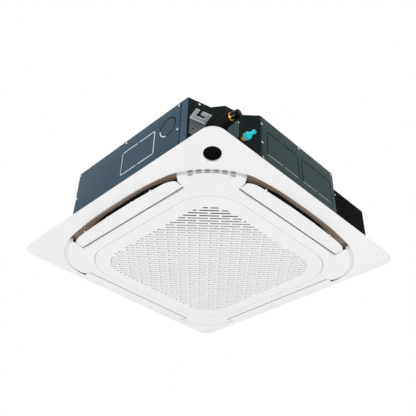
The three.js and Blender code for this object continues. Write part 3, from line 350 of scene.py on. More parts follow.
class Finish(Wiring):
    # a material whose patterns lie in Object coordinates, in metres

    def __init__(self, name, roughness, metallic=0.0, specular=0.5):
        self.material = bpy.data.materials.new(name)
        self.material.use_nodes = True
        super().__init__(self.material.node_tree)
        self.shader = self.tree.nodes["Principled BSDF"]
        self.shader.inputs["Roughness"].default_value = roughness
        self.shader.inputs["Metallic"].default_value = metallic
        self.shader.inputs["Specular IOR Level"].default_value = specular
        self.place = self.tree.nodes.new("ShaderNodeTexCoord").outputs["Object"]

    def stretched(self, x, y, z, turn=0.0):
        # the object's coordinates turned about Z and scaled, for patterns that run one way
        return self.node("Mapping", "Vector", {"Vector": self.place, "Scale": (x, y, z), "Rotation": (0, 0, turn)})

    def noise(self, scale, detail=2.0, roughness=0.5, place=None):
        return self.node("TexNoise", "Fac", {"Scale": scale, "Detail": detail, "Roughness": roughness,
                                             "Vector": self.place if place is None else place})

    def cells(self, scale, output="Distance", randomness=1.0, place=None):
        return self.node("TexVoronoi", output, {"Scale": scale, "Randomness": randomness,
                                                "Vector": self.place if place is None else place})

    def bands(self, pitch, direction):
        # one band every pitch metres: the node takes the sine of 20 * scale * distance
        scale = 2 * math.pi / 20 / pitch
        return self.node("TexWave", "Fac", {"Scale": scale, "Vector": self.place}, bands_direction=direction)

    def axis(self, name):
        # one of the object's coordinates
        return self.node("SeparateXYZ", name, {"Vector": self.place})

    def paint(self, colour):
        # the colour, and with dull the roughness, that changes over the surface
        self.tree.links.new(colour, self.shader.inputs["Base Color"])

    def dull(self, roughness):
        self.tree.links.new(roughness, self.shader.inputs["Roughness"])

    def bump(self, height, strength, depth):
        # depth in metres
        raised = self.node("Bump", "Normal", {"Strength": strength, "Distance": depth, "Height": height})
        self.tree.links.new(raised, self.shader.inputs["Normal"])


def paintedSheet(name, light, dark, roughness, specular):
    # coated steel: slow clouding, a fine orange peel and a few paler rubs
    f = Finish(name, roughness, specular=specular)
    slow = f.noise(7, 3)
    rubs = f.noise(1, 4, 0.6, f.stretched(30, 30, 260))
    pale = tuple(min(1, c * 1.25 + 0.01) for c in shaderColour(light)[:3]) + (1,)
    f.paint(f.mixed(f.ramp(rubs, (0.62, 0.0), (0.8, 0.35)), f.ramp(slow, (0.3, dark), (0.7, light)), pale))
    f.dull(f.ramp(slow, (0.3, roughness - 0.06), (0.7, roughness + 0.08)))
    f.bump(f.noise(900), 0.12, 0.0003)
    return f.material


def cornerSheet(name, foldY, light, dark, shadedRecessLight, shadedRecessDark):
    # the folded corner plate: the front wall's blue outside its fold, and deep in the recess a dark grey-green that
    # is painted shade
    f = Finish(name, 0.42, specular=0.04)
    slow = f.noise(7, 3)
    flange = f.ramp(slow, (0.3, dark), (0.7, light))
    recess = f.ramp(slow, (0.3, shadedRecessDark), (0.7, shadedRecessLight))
    f.paint(f.mixed(f.sums("LESS_THAN", f.axis("Y"), foldY), recess, flange))
    f.dull(f.ramp(slow, (0.3, 0.36), (0.7, 0.5)))
    f.bump(f.noise(900), 0.12, 0.0003)
    return f.material


def moulding(name, colour, shade, roughness=0.38, grain=1500):
    # satin moulded plastic: a fine spark-eroded grain and a barely uneven tone
    f = Finish(name, roughness, specular=0.35)
    f.paint(f.ramp(f.noise(5), (0.3, shade), (0.7, colour)))
    f.dull(f.ramp(f.noise(60, 3), (0.3, roughness - 0.04), (0.7, roughness + 0.06)))
    f.bump(f.noise(grain), 0.1, 0.00015)
    return f.material


def zincSheet(name, legTop, light, dark, shadedLegLight, shadedLegDark):
    # galvanised steel: flat crystals of slightly different grey, and a darker copy below the height legTop: painted
    # shade on the brackets' hanging legs
    f = Finish(name, 0.42, metallic=0.4, specular=0.3)
    bright = f.node("RGBToBW", "Val", {"Color": f.cells(110, "Color")})
    flat = f.ramp(bright, (0.1, dark), (0.9, light))
    leg = f.ramp(bright, (0.1, shadedLegDark), (0.9, shadedLegLight))
    f.paint(f.mixed(f.sums("LESS_THAN", f.axis("Z"), legTop), flat, leg))
    f.dull(f.ramp(bright, (0.0, 0.4), (1.0, 0.5)))
    f.bump(f.noise(500), 0.08, 0.0003)
    return f.material


def beadFoam(name, light, dark):
    # expanded foam: round beads pressed together
    f = Finish(name, 0.9, specular=0.2)
    beads = f.cells(280)
    f.paint(f.ramp(beads, (0.0, light), (0.9, dark)))
    f.bump(f.ramp(beads, (0.0, 1.0), (0.8, 0.0)), 0.35, 0.0006)
    return f.material


def rubberFoam(name, dark, light, drawnLight):
    # closed-cell pipe foam: black with a dull pitted skin and a faint run along the pipe
    f = Finish(name, 0.72, specular=0.12)
    pits = f.noise(420, 3, 0.6)
    drawn = f.noise(1, 3, place=f.stretched(14, 160, 160))
    f.paint(f.mixed(0.5, f.ramp(pits, (0.3, dark), (0.7, light)), f.ramp(drawn, (0.3, dark), (0.7, drawnLight))))
    f.bump(pits, 0.3, 0.0006)
    return f.material


def turnedMetal(name, light, dark, roughness, pitch, direction):
    # machined or drawn metal: fine rings along one axis, pitch metres apart, and a little tarnish
    f = Finish(name, roughness, metallic=1.0)
    rings = f.bands(pitch, direction)
    f.paint(f.ramp(f.noise(90, 3), (0.3, dark), (0.7, light)))
    f.dull(f.ramp(rings, (0.0, roughness - 0.05), (1.0, roughness + 0.08)))
    f.bump(rings, 0.12, 0.0001)
    return f.material


def glossPlastic(name, colour, shade, roughness, specular):
    # smooth moulded plastic: a barely uneven colour and a shine that wavers a little
    f = Finish(name, roughness, specular=specular)
    f.paint(f.ramp(f.noise(40), (0.3, shade), (0.7, colour)))
    f.dull(f.ramp(f.noise(220), (0.3, roughness * 0.8), (0.7, roughness * 1.4)))
    f.bump(f.noise(300), 0.03, 0.0003)
    return f.material


def finStack(name, finPitch, tubePitch, gap, fin, tube):
    # thin fins on end: a dark gap of painted shade every finPitch metres along each side of the coil, crossed by
    # rows of tubes
    f = Finish(name, 0.4, metallic=0.8)
    sideOn = f.sums("GREATER_THAN", f.sums("ABSOLUTE", f.axis("X")), f.sums("ABSOLUTE", f.axis("Y")))
    fins = f.mixed(sideOn, f.bands(finPitch, "X"), f.bands(finPitch, "Y"))
    tubes = f.ramp(f.bands(tubePitch, "Z"), (0.55, 0.0), (1.0, 0.25))
    f.paint(f.mixed(tubes, f.ramp(fins, (0.1, gap), (0.6, fin)), tube))
    f.bump(fins, 0.6, 0.0006)
    return f.material


def circuitBoard(name, lacquer, track, pad):
    # green lacquer with paler copper lines beneath it and small tinned pads
    f = Finish(name, 0.35)
    lines = f.cells(190, randomness=0.0, place=f.stretched(1, 1, 1, 0.785))
    pads = f.ramp(f.cells(420, randomness=0.35), (0.1, 0.5), (0.2, 0.0))
    f.paint(f.mixed(pads, f.ramp(lines, (0.36, lacquer), (0.42, track)), pad))
    f.bump(lines, 0.2, 0.0003)
    return f.material


def filterMesh(name, pitch, hole, thread):
    # woven nylon net: threads pitch metres apart both ways, with dark holes between them: painted shade of the
    # unit's dark inside seen through the net
    f = Finish(name, 0.7)
    net = f.sums("MAXIMUM", f.bands(pitch, "X"), f.bands(pitch, "Y"))
    f.paint(f.ramp(net, (0.55, hole), (0.95, thread)))
    f.bump(net, 0.6, 0.0005)
    return f.material


def outletLip(name, white, streak, *shadeTones):
    # painted shade on the opening's inner wall, the outlets' bores and the groove's floor: warm shaded tones, with
    # streaks, going up beside the outlets, and white round the corners, where |x y| / (x^2 + y^2) is near its most;
    # each tone comes with its place along 16 z
    f = Finish(name, 0.42, specular=0.3)
    x, y, z = (f.axis(name) for name in "XYZ")
    square = f.sums("ADD", f.sums("MULTIPLY", x, x), f.sums("MULTIPLY", y, y))
    corner = f.sums("ABSOLUTE", f.sums("DIVIDE", f.sums("MULTIPLY", x, y), square))
    streaks = f.ramp(f.noise(1, 3, place=f.stretched(60, 60, 6)), (0.3, 0.0), (0.7, 0.3))
    shaded = f.mixed(streaks, f.ramp(f.sums("MULTIPLY", z, 16.0), *shadeTones), streak)
    f.paint(f.mixed(f.ramp(corner, (0.444, 1.0), (0.466, 0.0)), white, shaded))
    f.bump(f.noise(1500), 0.1, 0.00015)
    return f.material


def sensorLens(name, ridge, facet):
    # near-black lens with a faint honeycomb of facets
    f = Finish(name, 0.3, specular=0.04)
    facets = f.cells(260, randomness=0.0)
    f.paint(f.ramp(facets, (0.1, ridge), (0.6, facet)))
    f.bump(facets, 0.08, 0.0004)
    return f.material


def paleFloor(name, light, dark):
    # matt and barely uneven
    f = Finish(name, 0.7)
    f.paint(f.ramp(f.noise(3), (0.3, dark), (0.7, light)))
    return f.material


# each finish: the function that makes it, then its values in the function's own order; colours as seen on screen
finishValues = {
    "slateFront": (paintedSheet, (66, 87, 101), (59, 79, 92), 0.42, 0.05),
    # the sheets turned away from the key lamp: a darker, greener copy of the front's slate, painted shade
    "slateSide": (paintedSheet, (56, 73, 72), (49, 65, 64), 0.42, 0.04),
    "slateCover": (paintedSheet, (68, 86, 86), (60, 77, 77), 0.42, 0.04),
    "slateCorner": (cornerSheet, -0.4186, (74, 94, 108), (66, 85, 98), (27, 36, 37), (18, 25, 26)),
    "shadowLine": (paintedSheet, (14, 19, 22), (10, 14, 17), 0.5, 0.02),
    "blackSheet": (paintedSheet, (8, 9, 15), (4, 5, 9), 0.5, 0.01),
    "whiteMoulding": (moulding, (241, 241, 241), (238, 238, 238)),
    "fanMoulding": (moulding, (226, 227, 226), (216, 217, 216)),
    "greyMoulding": (moulding, (142, 142, 140), (128, 128, 126)),
    "ventShade": (moulding, (196, 196, 195), (184, 184, 183)),
    "darkMoulding": (moulding, (36, 36, 38), (26, 26, 28), 0.45),
    # a dark strip on each vane's inner edge: painted shadow of the gap between the vane and the frame
    "sealFoam": (moulding, (62, 60, 58), (50, 48, 46), 0.7, 700),
    "zincSheet": (zincSheet, 0.2185, (226, 229, 231), (206, 210, 212), (98, 104, 106), (84, 90, 92)),
    "whiteFoam": (beadFoam, (240, 243, 244), (222, 227, 229)),
    "panFoam": (beadFoam, (96, 98, 100), (70, 72, 74)),
    "rubberFoam": (rubberFoam, (6, 6, 6), (22, 22, 21), (26, 25, 24)),
    "brass": (turnedMetal, (244, 200, 108), (214, 160, 70), 0.2, 0.0006, "X"),
    "copper": (turnedMetal, (206, 128, 84), (160, 92, 58), 0.3, 0.001, "X"),
    "steel": (turnedMetal, (186, 190, 193), (150, 154, 158), 0.34, 0.0008, "Z"),
    "screwZinc": (turnedMetal, (232, 236, 238), (206, 211, 214), 0.4, 0.0008, "Z"),
    "glossBlack": (glossPlastic, (3, 3, 4), (2, 2, 3), 0.05, 0.12),
    "teal": (glossPlastic, (20, 236, 238), (10, 214, 218), 0.3, 0.3),
    "finStack": (finStack, 0.0032, 0.021, (60, 63, 65), (190, 194, 197), (110, 112, 114)),
    "circuitBoard": (circuitBoard, (24, 96, 58), (58, 150, 92), (190, 180, 130)),
    "filterMesh": (filterMesh, 0.0026, (16, 16, 17), (62, 62, 62)),
    "outletLip": (outletLip, (236, 236, 235), (206, 186, 168), (0.44, (142, 130, 120)), (0.56, (206, 192, 178)),
                  (0.66, (200, 182, 166)), (0.94, (150, 132, 116))),
    "sensorLens": (sensorLens, (7, 7, 8), (1, 1, 2)),
    "paleFloor": (paleFloor, (240, 240, 240), (236, 236, 236)),
}
finishes = {name: make(name, *values) for name, (make, *values) in finishValues.items()}

# the record's material slot by a piece's first finish; addPiece looks it up and does nothing more with it
slotOf = {
    "whiteMoulding": "white_plastic", "ventShade": "white_plastic", "fanMoulding": "white_plastic",
    "greyMoulding": "grey_plastic", "filterMesh": "grey_plastic", "sensorLens": "black_plastic",
    "glossBlack": "black_plastic", "teal": "teal_plastic", "slateFront": "slate_sheet", "slateSide": "slate_sheet",
    "shadowLine": "slate_sheet", "zincSheet": "zinc_sheet", "whiteFoam": "foam", "sealFoam": "black_foam",
    "rubberFoam": "black_foam", "brass": "brass", "steel": "steel", "screwZinc": "steel",
}
print("finishes made")


# lengths in mm; a bow is the radius of a long side's arc
panel = {
    "rimHalf": 475, "rimCorner": 45, "rimBottom": 42, "rimTop": 51,
    "openingHalf": 430, "openingBow": 3300, "openingCorner": 209,
    "openingDrop": 9.5, "cornerDrop": 29, "lipRise": 3, "lipCornerRise": 19,
    "grooveWidth": 12.5, "grooveStep": 3.75, "grooveDepth": 14,
    "ductHalf": 404, "ductCorner": 330, "ductTop": 59, "ductInner": 362, "ductLength": 249.5,
    "doorHalf": 327, "doorCorner": 141, "wall": 3, "vaneX": 371.5, "vaneZ": 11.5, "stations": 720,
}
straight = 1e5  # the bow of a side that is as good as straight


def bowedSquare(half, bow, corner):
    # distance from the middle to the edge of a square whose sides are long arcs and whose corners are short
    # ones: along a side it is where the bearing meets the long arc, and past the tangent point the short arc
    shift = bow - half
    centre = (math.sqrt(2 * (bow - corner) ** 2 - shift ** 2) - shift) / 2
    turn = math.atan2(centre * bow, (centre + shift) * bow - shift * (bow - corner))

    def reach(angle):
        folded = np.abs((angle + np.pi / 4) % (np.pi / 2) - np.pi / 4)
        c, s = np.cos(folded), np.sin(folded)
        side = np.sqrt(bow ** 2 - (shift * s) ** 2) - shift * c
        bend = centre * (c + s) + np.sqrt(np.maximum(corner ** 2 - (centre * (c - s)) ** 2, 0))
        return np.where(folded < turn, side, bend)
    return reach


def openingSquare(inset):
    # the opening's outline moved inwards
    return bowedSquare(*(panel[key] - inset for key in ("openingHalf", "openingBow", "openingCorner")))


rimLine = bowedSquare(panel["rimHalf"], straight, panel["rimCorner"])
openingLine = openingSquare(0)
cushionLine = openingSquare(panel["grooveWidth"])
ductLine = bowedSquare(panel["ductHalf"], panel["openingBow"], panel["ductCorner"])
doorLine = bowedSquare(panel["doorHalf"], straight, panel["doorCorner"])
nearBearing = np.array(-np.pi / 4)  # the near corner, where the sensor and the vents are


def openingHeight(angle):
    # the opening's edge hangs below the rim, further at the corners: drop = side + (corner - side) * |sin 2a|^5
    late = np.abs(np.sin(2 * angle)) ** 5
    return panel["rimBottom"] - panel["openingDrop"] - (panel["cornerDrop"] - panel["openingDrop"]) * late


def lipHeight(angle):
    # where the lip starts to lean: rise over the opening's edge = side + (corner - side) * sin(2a)^2
    rise, cornerRise = panel["lipRise"], panel["lipCornerRise"]
    return openingHeight(angle) + rise + (cornerRise - rise) * np.sin(2 * angle) ** 2


def cushionHeight(angle):
    # the cushion's edge hangs one grooveStep lower than the opening's
    return openingHeight(angle) - panel["grooveStep"]


def domeHeight(t):
    # the underside falls from the cushion's edge to the door as a quarter of a sine
    return lambda angle: cushionHeight(angle) * (1 - math.sin(math.pi / 2 * t))


def grooveFloor(angle):
    # full depth beside the outlets and at the vents, and depth * (1 - 0.5 * sin(2a)^6) round the other corners
    away = 1 - np.maximum(0, np.cos(angle - nearBearing)) ** 8
    return cushionHeight(angle) + panel["grooveDepth"] * (1 - 0.5 * np.sin(2 * angle) ** 6 * away)


def between(a, b, t):
    # a line or height that lies the share t of the way from a to b at every bearing
    return lambda angle: a(angle) + (b(angle) - a(angle)) * t


def level(z):
    # the same height at every bearing
    return lambda angle: np.full_like(angle, z)


def stationAngles(count):
    # bearings that crowd towards the four diagonals, where the outlines turn: 1 - (1 - share)^1.6 in each octant
    octant = count / 8
    step = np.arange(count)
    side = np.round(step / (2 * octant)) * 2
    along = step / octant - side
    return (side + np.sign(along) * (1 - (1 - np.abs(along)) ** 1.6)) * np.pi / 4


def outlineLoop(line, offset=0.0, stations=panel["stations"]):
    # x = reach * cos a, y = reach * sin a, with reach = line + offset
    angle = stationAngles(stations)
    reach = line(angle) + offset
    return np.stack([reach * np.cos(angle), reach * np.sin(angle)], 1)


def frameRing(profile, marks=None, stations=panel["stations"]):
    # every profile point [line, offset, height, rise] runs once round: reach = line + offset, z = height + rise
    angle = stationAngles(stations)
    rows = [np.column_stack([outlineLoop(line, offset, stations), height(angle) + rise])
            for line, offset, height, rise in profile]
    faces = gridFaces(len(profile), stations, True, True)
    return np.concatenate(rows), faces, np.repeat([0] * len(profile) if marks is None else marks, stations).tolist()


def arcMarks(line, height, offset, rise, radius, start, end, steps=4):
    # a rounded edge: points of an arc in the plane of the section, angles in degrees from outwards to up
    t = np.radians(np.linspace(start, end, steps + 1))
    return [[line, offset + radius * math.cos(a), height, rise + radius * math.sin(a)] for a in t]


# turns are in degrees, from outwards to up
outerFrame = {
    "edge": 2.0, "openingEdge": 2.6, "backEdge": 0.8, "crown": 0.9, "steps": 14,
    "openingTurn": (180, 250), "rimTurn": (-84, 0), "backTurn": (0, 90),
    "throat": 8, "leanPower": 1.25, "lipSteps": 10,
}
sensor = {
    "x": 401, "tilt": 4, "lift": 4, "pocketRadius": 26.9, "pocketDepth": 23,
    "profile": [[axisGap, 0.6], [19, 0.4], [24.6, -0.2], [25.4, -0.5], [26, -0.3], [26.3, 0.5], [26.3, 14],
                [axisGap, 14]],
}


def buildOuterFrame():
    # the section in four runs: the face from the opening to the rim, the rim, the back, and the lip
    o, wall = outerFrame, panel["wall"]
    edge, openingEdge, backEdge = o["edge"], o["openingEdge"], o["backEdge"]
    rimLow, rimHigh, ductTop = level(panel["rimBottom"]), level(panel["rimTop"]), level(panel["ductTop"])
    face = arcMarks(openingLine, openingHeight, openingEdge, openingEdge, openingEdge,
                    *o["openingTurn"], 5)
    for t in np.linspace(0, 1, o["steps"] + 1)[1:-1]:
        # straight from the opening to the rim, less a slight crown of 4t(1 - t)
        face.append([between(openingLine, rimLine, t), openingEdge * (1 - t) - edge * t,
                     between(openingHeight, rimLow, t), -o["crown"] * 4 * t * (1 - t)])
    rim = arcMarks(rimLine, rimLow, -edge, edge, edge, *o["rimTurn"], 5)
    rim += arcMarks(rimLine, rimHigh, -backEdge, -backEdge, backEdge, *o["backTurn"], 3)
    back = [[rimLine, -wall, rimHigh, 0], [rimLine, -wall, rimLow, wall + 0.6],
            [openingLine, wall + 1, openingHeight, wall + 1.2], [openingLine, wall, lipHeight, 1],
            [ductLine, wall - o["throat"], ductTop, 0]]
    lip = []
    for t in np.linspace(1, 0, o["lipSteps"] + 1):
        # the lip leans in from the opening's edge to the throat over the ducts and eases to upright:
        # reach = opening + (throat - opening) * sin(90 * t)^leanPower
        lean = math.sin(math.pi / 2 * t) ** o["leanPower"]
        lip.append([between(openingLine, ductLine, lean), -o["throat"] * lean, between(lipHeight, ductTop, t), 0])
    profile = face + rim + back + lip
    marks = [int(i >= len(profile) - len(lip) - 1) for i in range(len(profile))]
    pocket = sensorPlace(rod(sensor["pocketRadius"], -14, sensor["pocketDepth"], 0.1, 96))
    addPiece("outer_frame", frameRing(profile, marks), ["whiteMoulding", "outletLip"],
             ["panel_outer_frame"], work=cuts(pocket))


def sensorPlace(shape):
    # into the slope of the near corner: almost level, its middle a little above the frame's face
    x = sensor["x"]
    rim, opening = float(rimLine(nearBearing)), float(openingLine(nearBearing))
    share = (rim - x * math.sqrt(2)) / (rim - opening)
    z = panel["rimBottom"] - panel["cornerDrop"] * share + sensor["lift"]
    return moved(shape, x, -x, z, -45, -sensor["tilt"])


def buildSensor():
    # a lens with a rounded rim, turned about its own axis
    addPiece("sensor_lens", sensorPlace(lathe(sensor["profile"], 96)), "sensorLens", ["sensor_window"])


# boxes are [nearest, furthest, lowest, highest]; a vent's are measured out from the corner's arc
centreFrame = {
    "steps": 18, "innerSteps": 9, "crowding": 1.3, "cushionEdge": 2.2, "cushionTurn": (-62, 0), "doorEdge": 0.9,
    "over": 5, "seat": 0.35, "middleLow": 8, "middleIn": 20,
    "endWall": 4, "flare": 9, "flareStart": 392, "flareStop": 402, "flareRound": 8, "boreRound": 1.5,
    "vents": 6, "ventPitch": 26.5, "ventWidth": 15,
    "ventHole": (-12, 5.2, 11.4, 40), "ventBar": (-7.2, -6.2, 16.6, 18.8), "ventBack": (-9.4, -8, 11.2, 32),
    "hinge": 150, "barrel": 30, "ear": 6, "axisY": 330, "axisZ": 3, "pinRadius": 1.8,
    "earBox": (327.3, 336, 0.3, 6), "earRoom": (324, 333.6, -1, 9),
    "pinBore": 3.6, "stopBox": (-0.1, 1.9, 5.6, 30),
    "ductReach": 475, "ductLow": -42, "ductHigh": 309, "boreReach": 470, "boreLow": -10, "boreHigh": 320,
}


def ductPocket():
    # an outlet's bore, its outer end corners opened by a small flare
    c, inner, half = centreFrame, panel["ductInner"], panel["ductLength"]
    start, stop, outer, wide = c["flareStart"], c["flareStop"], c["boreReach"], half + c["flare"]
    loop = [[inner, -half], [start, -half], [stop, -wide], [outer, -wide],
            [outer, wide], [stop, wide], [start, half], [inner, half]]
    radii = [c["boreRound"], c["flareRound"], c["flareRound"], 0]
    return prism(roundLoop(loop, radii + radii[::-1]), c["boreLow"], c["boreHigh"])


def cushionShape():
    # a tray: the dome with the cushion's rounded edge, hollowed from above, and the ducts' walls left standing
    c, wall = centreFrame, panel["wall"]
    e, d = c["cushionEdge"], c["doorEdge"]
    webTop = panel["grooveDepth"] + wall
    shares = 1 - np.linspace(0, 1, c["steps"] + 1)[:-1] ** c["crowding"]
    dome = [[between(cushionLine, doorLine, t), -e * (1 - t) + d * t, domeHeight(t), 0] for t in shares]
    edge = arcMarks(cushionLine, cushionHeight, -e, e, e, *c["cushionTurn"], 5)
    tray = frameRing([[doorLine, 0, level(0), d], [doorLine, d * 0.3, level(0), d * 0.3]] + dome + edge
                     + [[cushionLine, 0, cushionHeight, webTop], [doorLine, 0, level(panel["ductTop"]), 0]])
    over = level(panel["ductTop"] + c["over"])
    inside = [[between(cushionLine, doorLine, t), -wall * (1 - 2 * t), domeHeight(t), wall]
              for t in np.linspace(1, 0, c["innerSteps"])]
    hollow = frameRing(inside + [[cushionLine, -wall, over, 0], [doorLine, wall, over, 0]], stations=360)
    low, inwards = level(c["middleLow"]), -c["middleIn"]
    middle = frameRing([[doorLine, offset, height, 0] for offset, height in
                        ((inwards, low), (wall + 1, low), (wall + 1, over), (inwards, over))], stations=360)
    inner, half = panel["ductInner"] - c["endWall"], panel["ductLength"] + c["endWall"]
    ducts = onFourSides(plainBox(inner, c["ductReach"], -half, half, c["ductLow"], c["ductHigh"]))
    return tray, [carved(hollow, cuts(*ducts)), carved(middle, cuts(*ducts))]


def webShape():
    # the floor of the groove between the cushion and the opening, marked for the lip's painted shade
    webTop, seat = panel["grooveDepth"] + panel["wall"], centreFrame["seat"]
    return frameRing([[cushionLine, -1, grooveFloor, 0], [openingLine, -seat, grooveFloor, 0],
                      [openingLine, -seat, cushionHeight, webTop],
                      [cushionLine, -1, cushionHeight, webTop]], [1] * 4)


def ventShapes(box, more=0.0):
    # the same box at every vent, ventPitch apart along the near corner's arc
    c = centreFrame
    radius = panel["openingCorner"] - panel["grooveWidth"] / 2
    middle = float(cushionLine(nearBearing)) + panel["grooveWidth"] / 2 - radius
    near, far, low, high = box
    half = c["ventWidth"] / 2 + more
    one = plainBox(radius + near, radius + far, -half, half, low, high)
    turns = np.degrees((np.arange(c["vents"]) - (c["vents"] - 1) / 2) * c["ventPitch"] / radius)
    return [moved(moved(one, middle, turn=turn), turn=-45) for turn in turns]


def hingeShapes():
    # the ears that hold the door's two pins, and the room cut in them for its barrels and pins
    c = centreFrame
    ears, rooms = [], []
    for x in (-c["hinge"], c["hinge"]):
        reach = c["barrel"] / 2 + 0.3
        wide = reach + c["ear"]
        ears.append(plainBox(x - wide, x + wide, *c["earBox"]))
        rooms.append(plainBox(x - reach, x + reach, *c["earRoom"]))
        pin = alongX(rod(c["pinRadius"], x - wide - 1, x + wide + 1, 0.1, 24))
        rooms.append(moved(pin, 0, c["axisY"], c["axisZ"]))
    return ears, rooms


def buildCentreFrame():
    # the cushion with its groove, vents, outlets, ears and pin bores, and then the trims that lie in them
    c = centreFrame
    inner, half, wall = panel["ductInner"], panel["ductLength"], c["endWall"]
    tray, hollows = cushionShape()
    ears, rooms = hingeShapes()
    bores = onFourSides(marked(ductPocket(), 1))
    ends = ((-half - wall - 2, -half + 2), (half - 2, half + wall + 2))
    pins = [moved(alongY(rod(c["pinBore"], *end, 0.1, 24)), panel["vaneX"], 0, panel["vaneZ"]) for end in ends]
    addPiece("centre_frame", tray, ["whiteMoulding", "outletLip"], ["panel_centre_frame"],
             work=cuts(*hollows) + joins(webShape()) + cuts(*ventShapes(c["ventHole"]))
             + cuts(*bores) + joins(*ears) + cuts(*rooms, *onFourSides(*pins)))
    addPiece("vent_bars", joinShapes(*ventShapes(c["ventBar"], 0.5)), "whiteMoulding")
    addPiece("vent_backs", joinShapes(*ventShapes(c["ventBack"], 1)), "ventShade")
    # a raised stop on the inner wall of each outlet, beside the vane's bead
    near, far, low, high = c["stopBox"]
    stop = plainBox(inner + near, inner + far, -half + 2, half - 2, low, high)
    addPiece("outlet_stops", joinShapes(*onFourSides(stop)), "whiteMoulding")


# rowShift and the two slotShifts place the rows and their slots; a slat leans over its slot, more from row to row
grille = {
    "thick": 5, "gap": 1.5, "edge": 1.0, "arm": 2, "armLow": 0.2, "armHigh": 4.6, "barrelRadius": 3,
    "fieldHalf": 276, "fieldCorner": 100, "skin": 1.3, "recessMargin": 7, "recessCorner": 105, "recessTop": 9,
    "rows": 24, "rowPitch": 14.1, "rowShift": -4.5, "period": 71, "rib": 8, "slotShifts": (-4, -39.5),
    "slotHigh": 5.6, "slotRound": 1.2, "leastSlot": 8, "openRows": 3, "fadeRows": 15, "fadePower": 1.2,
    "slatStart": 3.6, "slatThick": 1.5, "slatFoot": 0.9, "slatTop": 1.9, "slatRise": 2.7, "slatLean": 3.0,
}
filterNet = {
    "half": 292, "corner": 95, "low": 5.9, "high": 6.6, "rimLow": 5.4, "rimHigh": 8.2, "rimWidth": 9,
    "ribs": 9, "ribReach": 240, "ribLow": 6.4,
}
# boxes are [x0, x1, y0, y1, z0, z1], with y measured from the latch's tip
latch = {
    "x": 130, "tip": -325.5, "slide": (-23, 23, 8, 32, 5.4, 12.2), "tongue": (-10, 10, 2.2, 21.8, 8.4, 17.2),
    "ridges": 6, "ridgePitch": 3,
    "ridgeBoxes": ((-19, -12, 12, 13.4, 11.8, 12.25), (12, 19, 12, 13.4, 11.8, 12.25)),
}


def grilleSlots():
    # [row, v, start, stop] of rows across the diagonal; alternate rows are shifted by half a slot, and each slot
    # ends inside the rounded field
    g = grille
    field = bowedSquare(g["fieldHalf"], straight, g["fieldCorner"])
    probe = np.arange(0, 400, 0.5)
    found = []
    for row in range(-g["rows"], g["rows"] + 1):
        v = row * g["rowPitch"] + g["rowShift"]
        reach = probe[-1]
        for w in (v - g["slotHigh"] / 2, v + g["slotHigh"] / 2):
            inside = np.hypot(probe, w) < field(np.arctan2(w, probe) + np.pi / 4)
            reach = min(reach, probe[inside].max() if inside.any() else 0)
        starts = np.arange(-6, 7) * g["period"] + g["slotShifts"][row % 2] + g["rib"] / 2
        for start in starts:
            start, stop = max(start, -reach), min(start + g["period"] - g["rib"], reach)
            if stop - start > g["leastSlot"]:
                found.append((row, v, start, stop))
    return found


def slatShape(start, stop, far, amount):
    # a sheared box on the far edge of a slot, whose top leans back over it by slatLean * amount
    g = grille
    foot, top, lean = g["slatFoot"], g["slatTop"] + g["slatRise"] * amount, g["slatLean"] * amount
    low = np.column_stack([boxLoop(start, stop, far + 0.4, far + 1.6), np.full(4, foot)])
    high = np.column_stack([boxLoop(start, stop, far - lean, far - lean + g["slatThick"]), np.full(4, top)])
    return np.concatenate([low, high]), tubeFaces(2, 4)


def buildGrille():
    # the door plate, thinned from above over its field, with slots cut through and slats standing behind them
    g, c = grille, centreFrame
    field = bowedSquare(g["fieldHalf"] + g["recessMargin"], straight, g["recessCorner"])
    recess = prism(outlineLoop(field, 0, 240), g["skin"], g["recessTop"])
    slots, slats = [], []
    half = g["slotHigh"] / 2
    for row, v, start, stop in grilleSlots():
        loop = roundLoop(boxLoop(start, stop, v - half, v + half), g["slotRound"], 3)
        slots.append(plate(loop, [[-0.9, -1], [-0.45, 0.0], [0, 0.55], [0, 8]]))
        amount = max(0, min(1, (row + g["rows"] - g["openRows"]) / g["fadeRows"])) ** g["fadePower"]
        if amount > 0 and stop - start >= g["slatStart"] + 4:
            slats.append(slatShape(start + g["slatStart"], stop, v + half, amount))
    arms, bores = [], []
    for x in (-c["hinge"], c["hinge"]):
        h = c["barrel"] / 2
        start = panel["doorHalf"] - g["gap"] - g["arm"]
        arms.append(block(x - h, x + h, start, c["axisY"], g["armLow"], g["armHigh"], 0.3))
        arms.append(moved(alongX(rod(g["barrelRadius"], x - h, x + h, 0.4)), 0, c["axisY"], c["axisZ"]))
        bore = alongX(rod(c["pinRadius"], x - h - 1, x + h + 1, 0.1, 24))
        bores.append(moved(bore, 0, c["axisY"], c["axisZ"]))
    addPiece("grille_plate", softPlate(outlineLoop(doorLine, -g["gap"]), 0, g["thick"], g["edge"], 4),
             "whiteMoulding", ["intake_grille"], "door",
             work=joins(*arms) + cuts(recess, moved(joinShapes(*slots), turn=45), *bores))
    addPiece("grille_slats", moved(joinShapes(*slats), turn=45), "whiteMoulding", body="door")


def buildFilter():
    # the net in its frame, with thin ribs over it both ways
    n = filterNet
    line = bowedSquare(n["half"], straight, n["corner"])
    net = prism(outlineLoop(line, -2, 240), n["low"], n["high"])
    rows = [np.column_stack([outlineLoop(line, offset, 240), np.full(240, z)]) for offset, z in
            ((0, n["rimLow"]), (0, n["rimHigh"]), (-n["rimWidth"], n["rimHigh"]), (-n["rimWidth"], n["rimLow"]))]
    rim = (np.concatenate(rows), gridFaces(4, 240, True, True))
    ribs = []
    for u in np.linspace(-n["ribReach"], n["ribReach"], n["ribs"]):
        reach = n["half"] - 8 if abs(u) < 200 else n["half"] - 47
        ribs.append(plainBox(-reach, reach, u - 1, u + 1, n["ribLow"], 8))
        ribs.append(plainBox(u - 1, u + 1, -reach, reach, n["ribLow"], 7.9))
    addPiece("filter_frame", joinShapes(net, rim, *ribs), "filterMesh", ["air_filter"], "door")


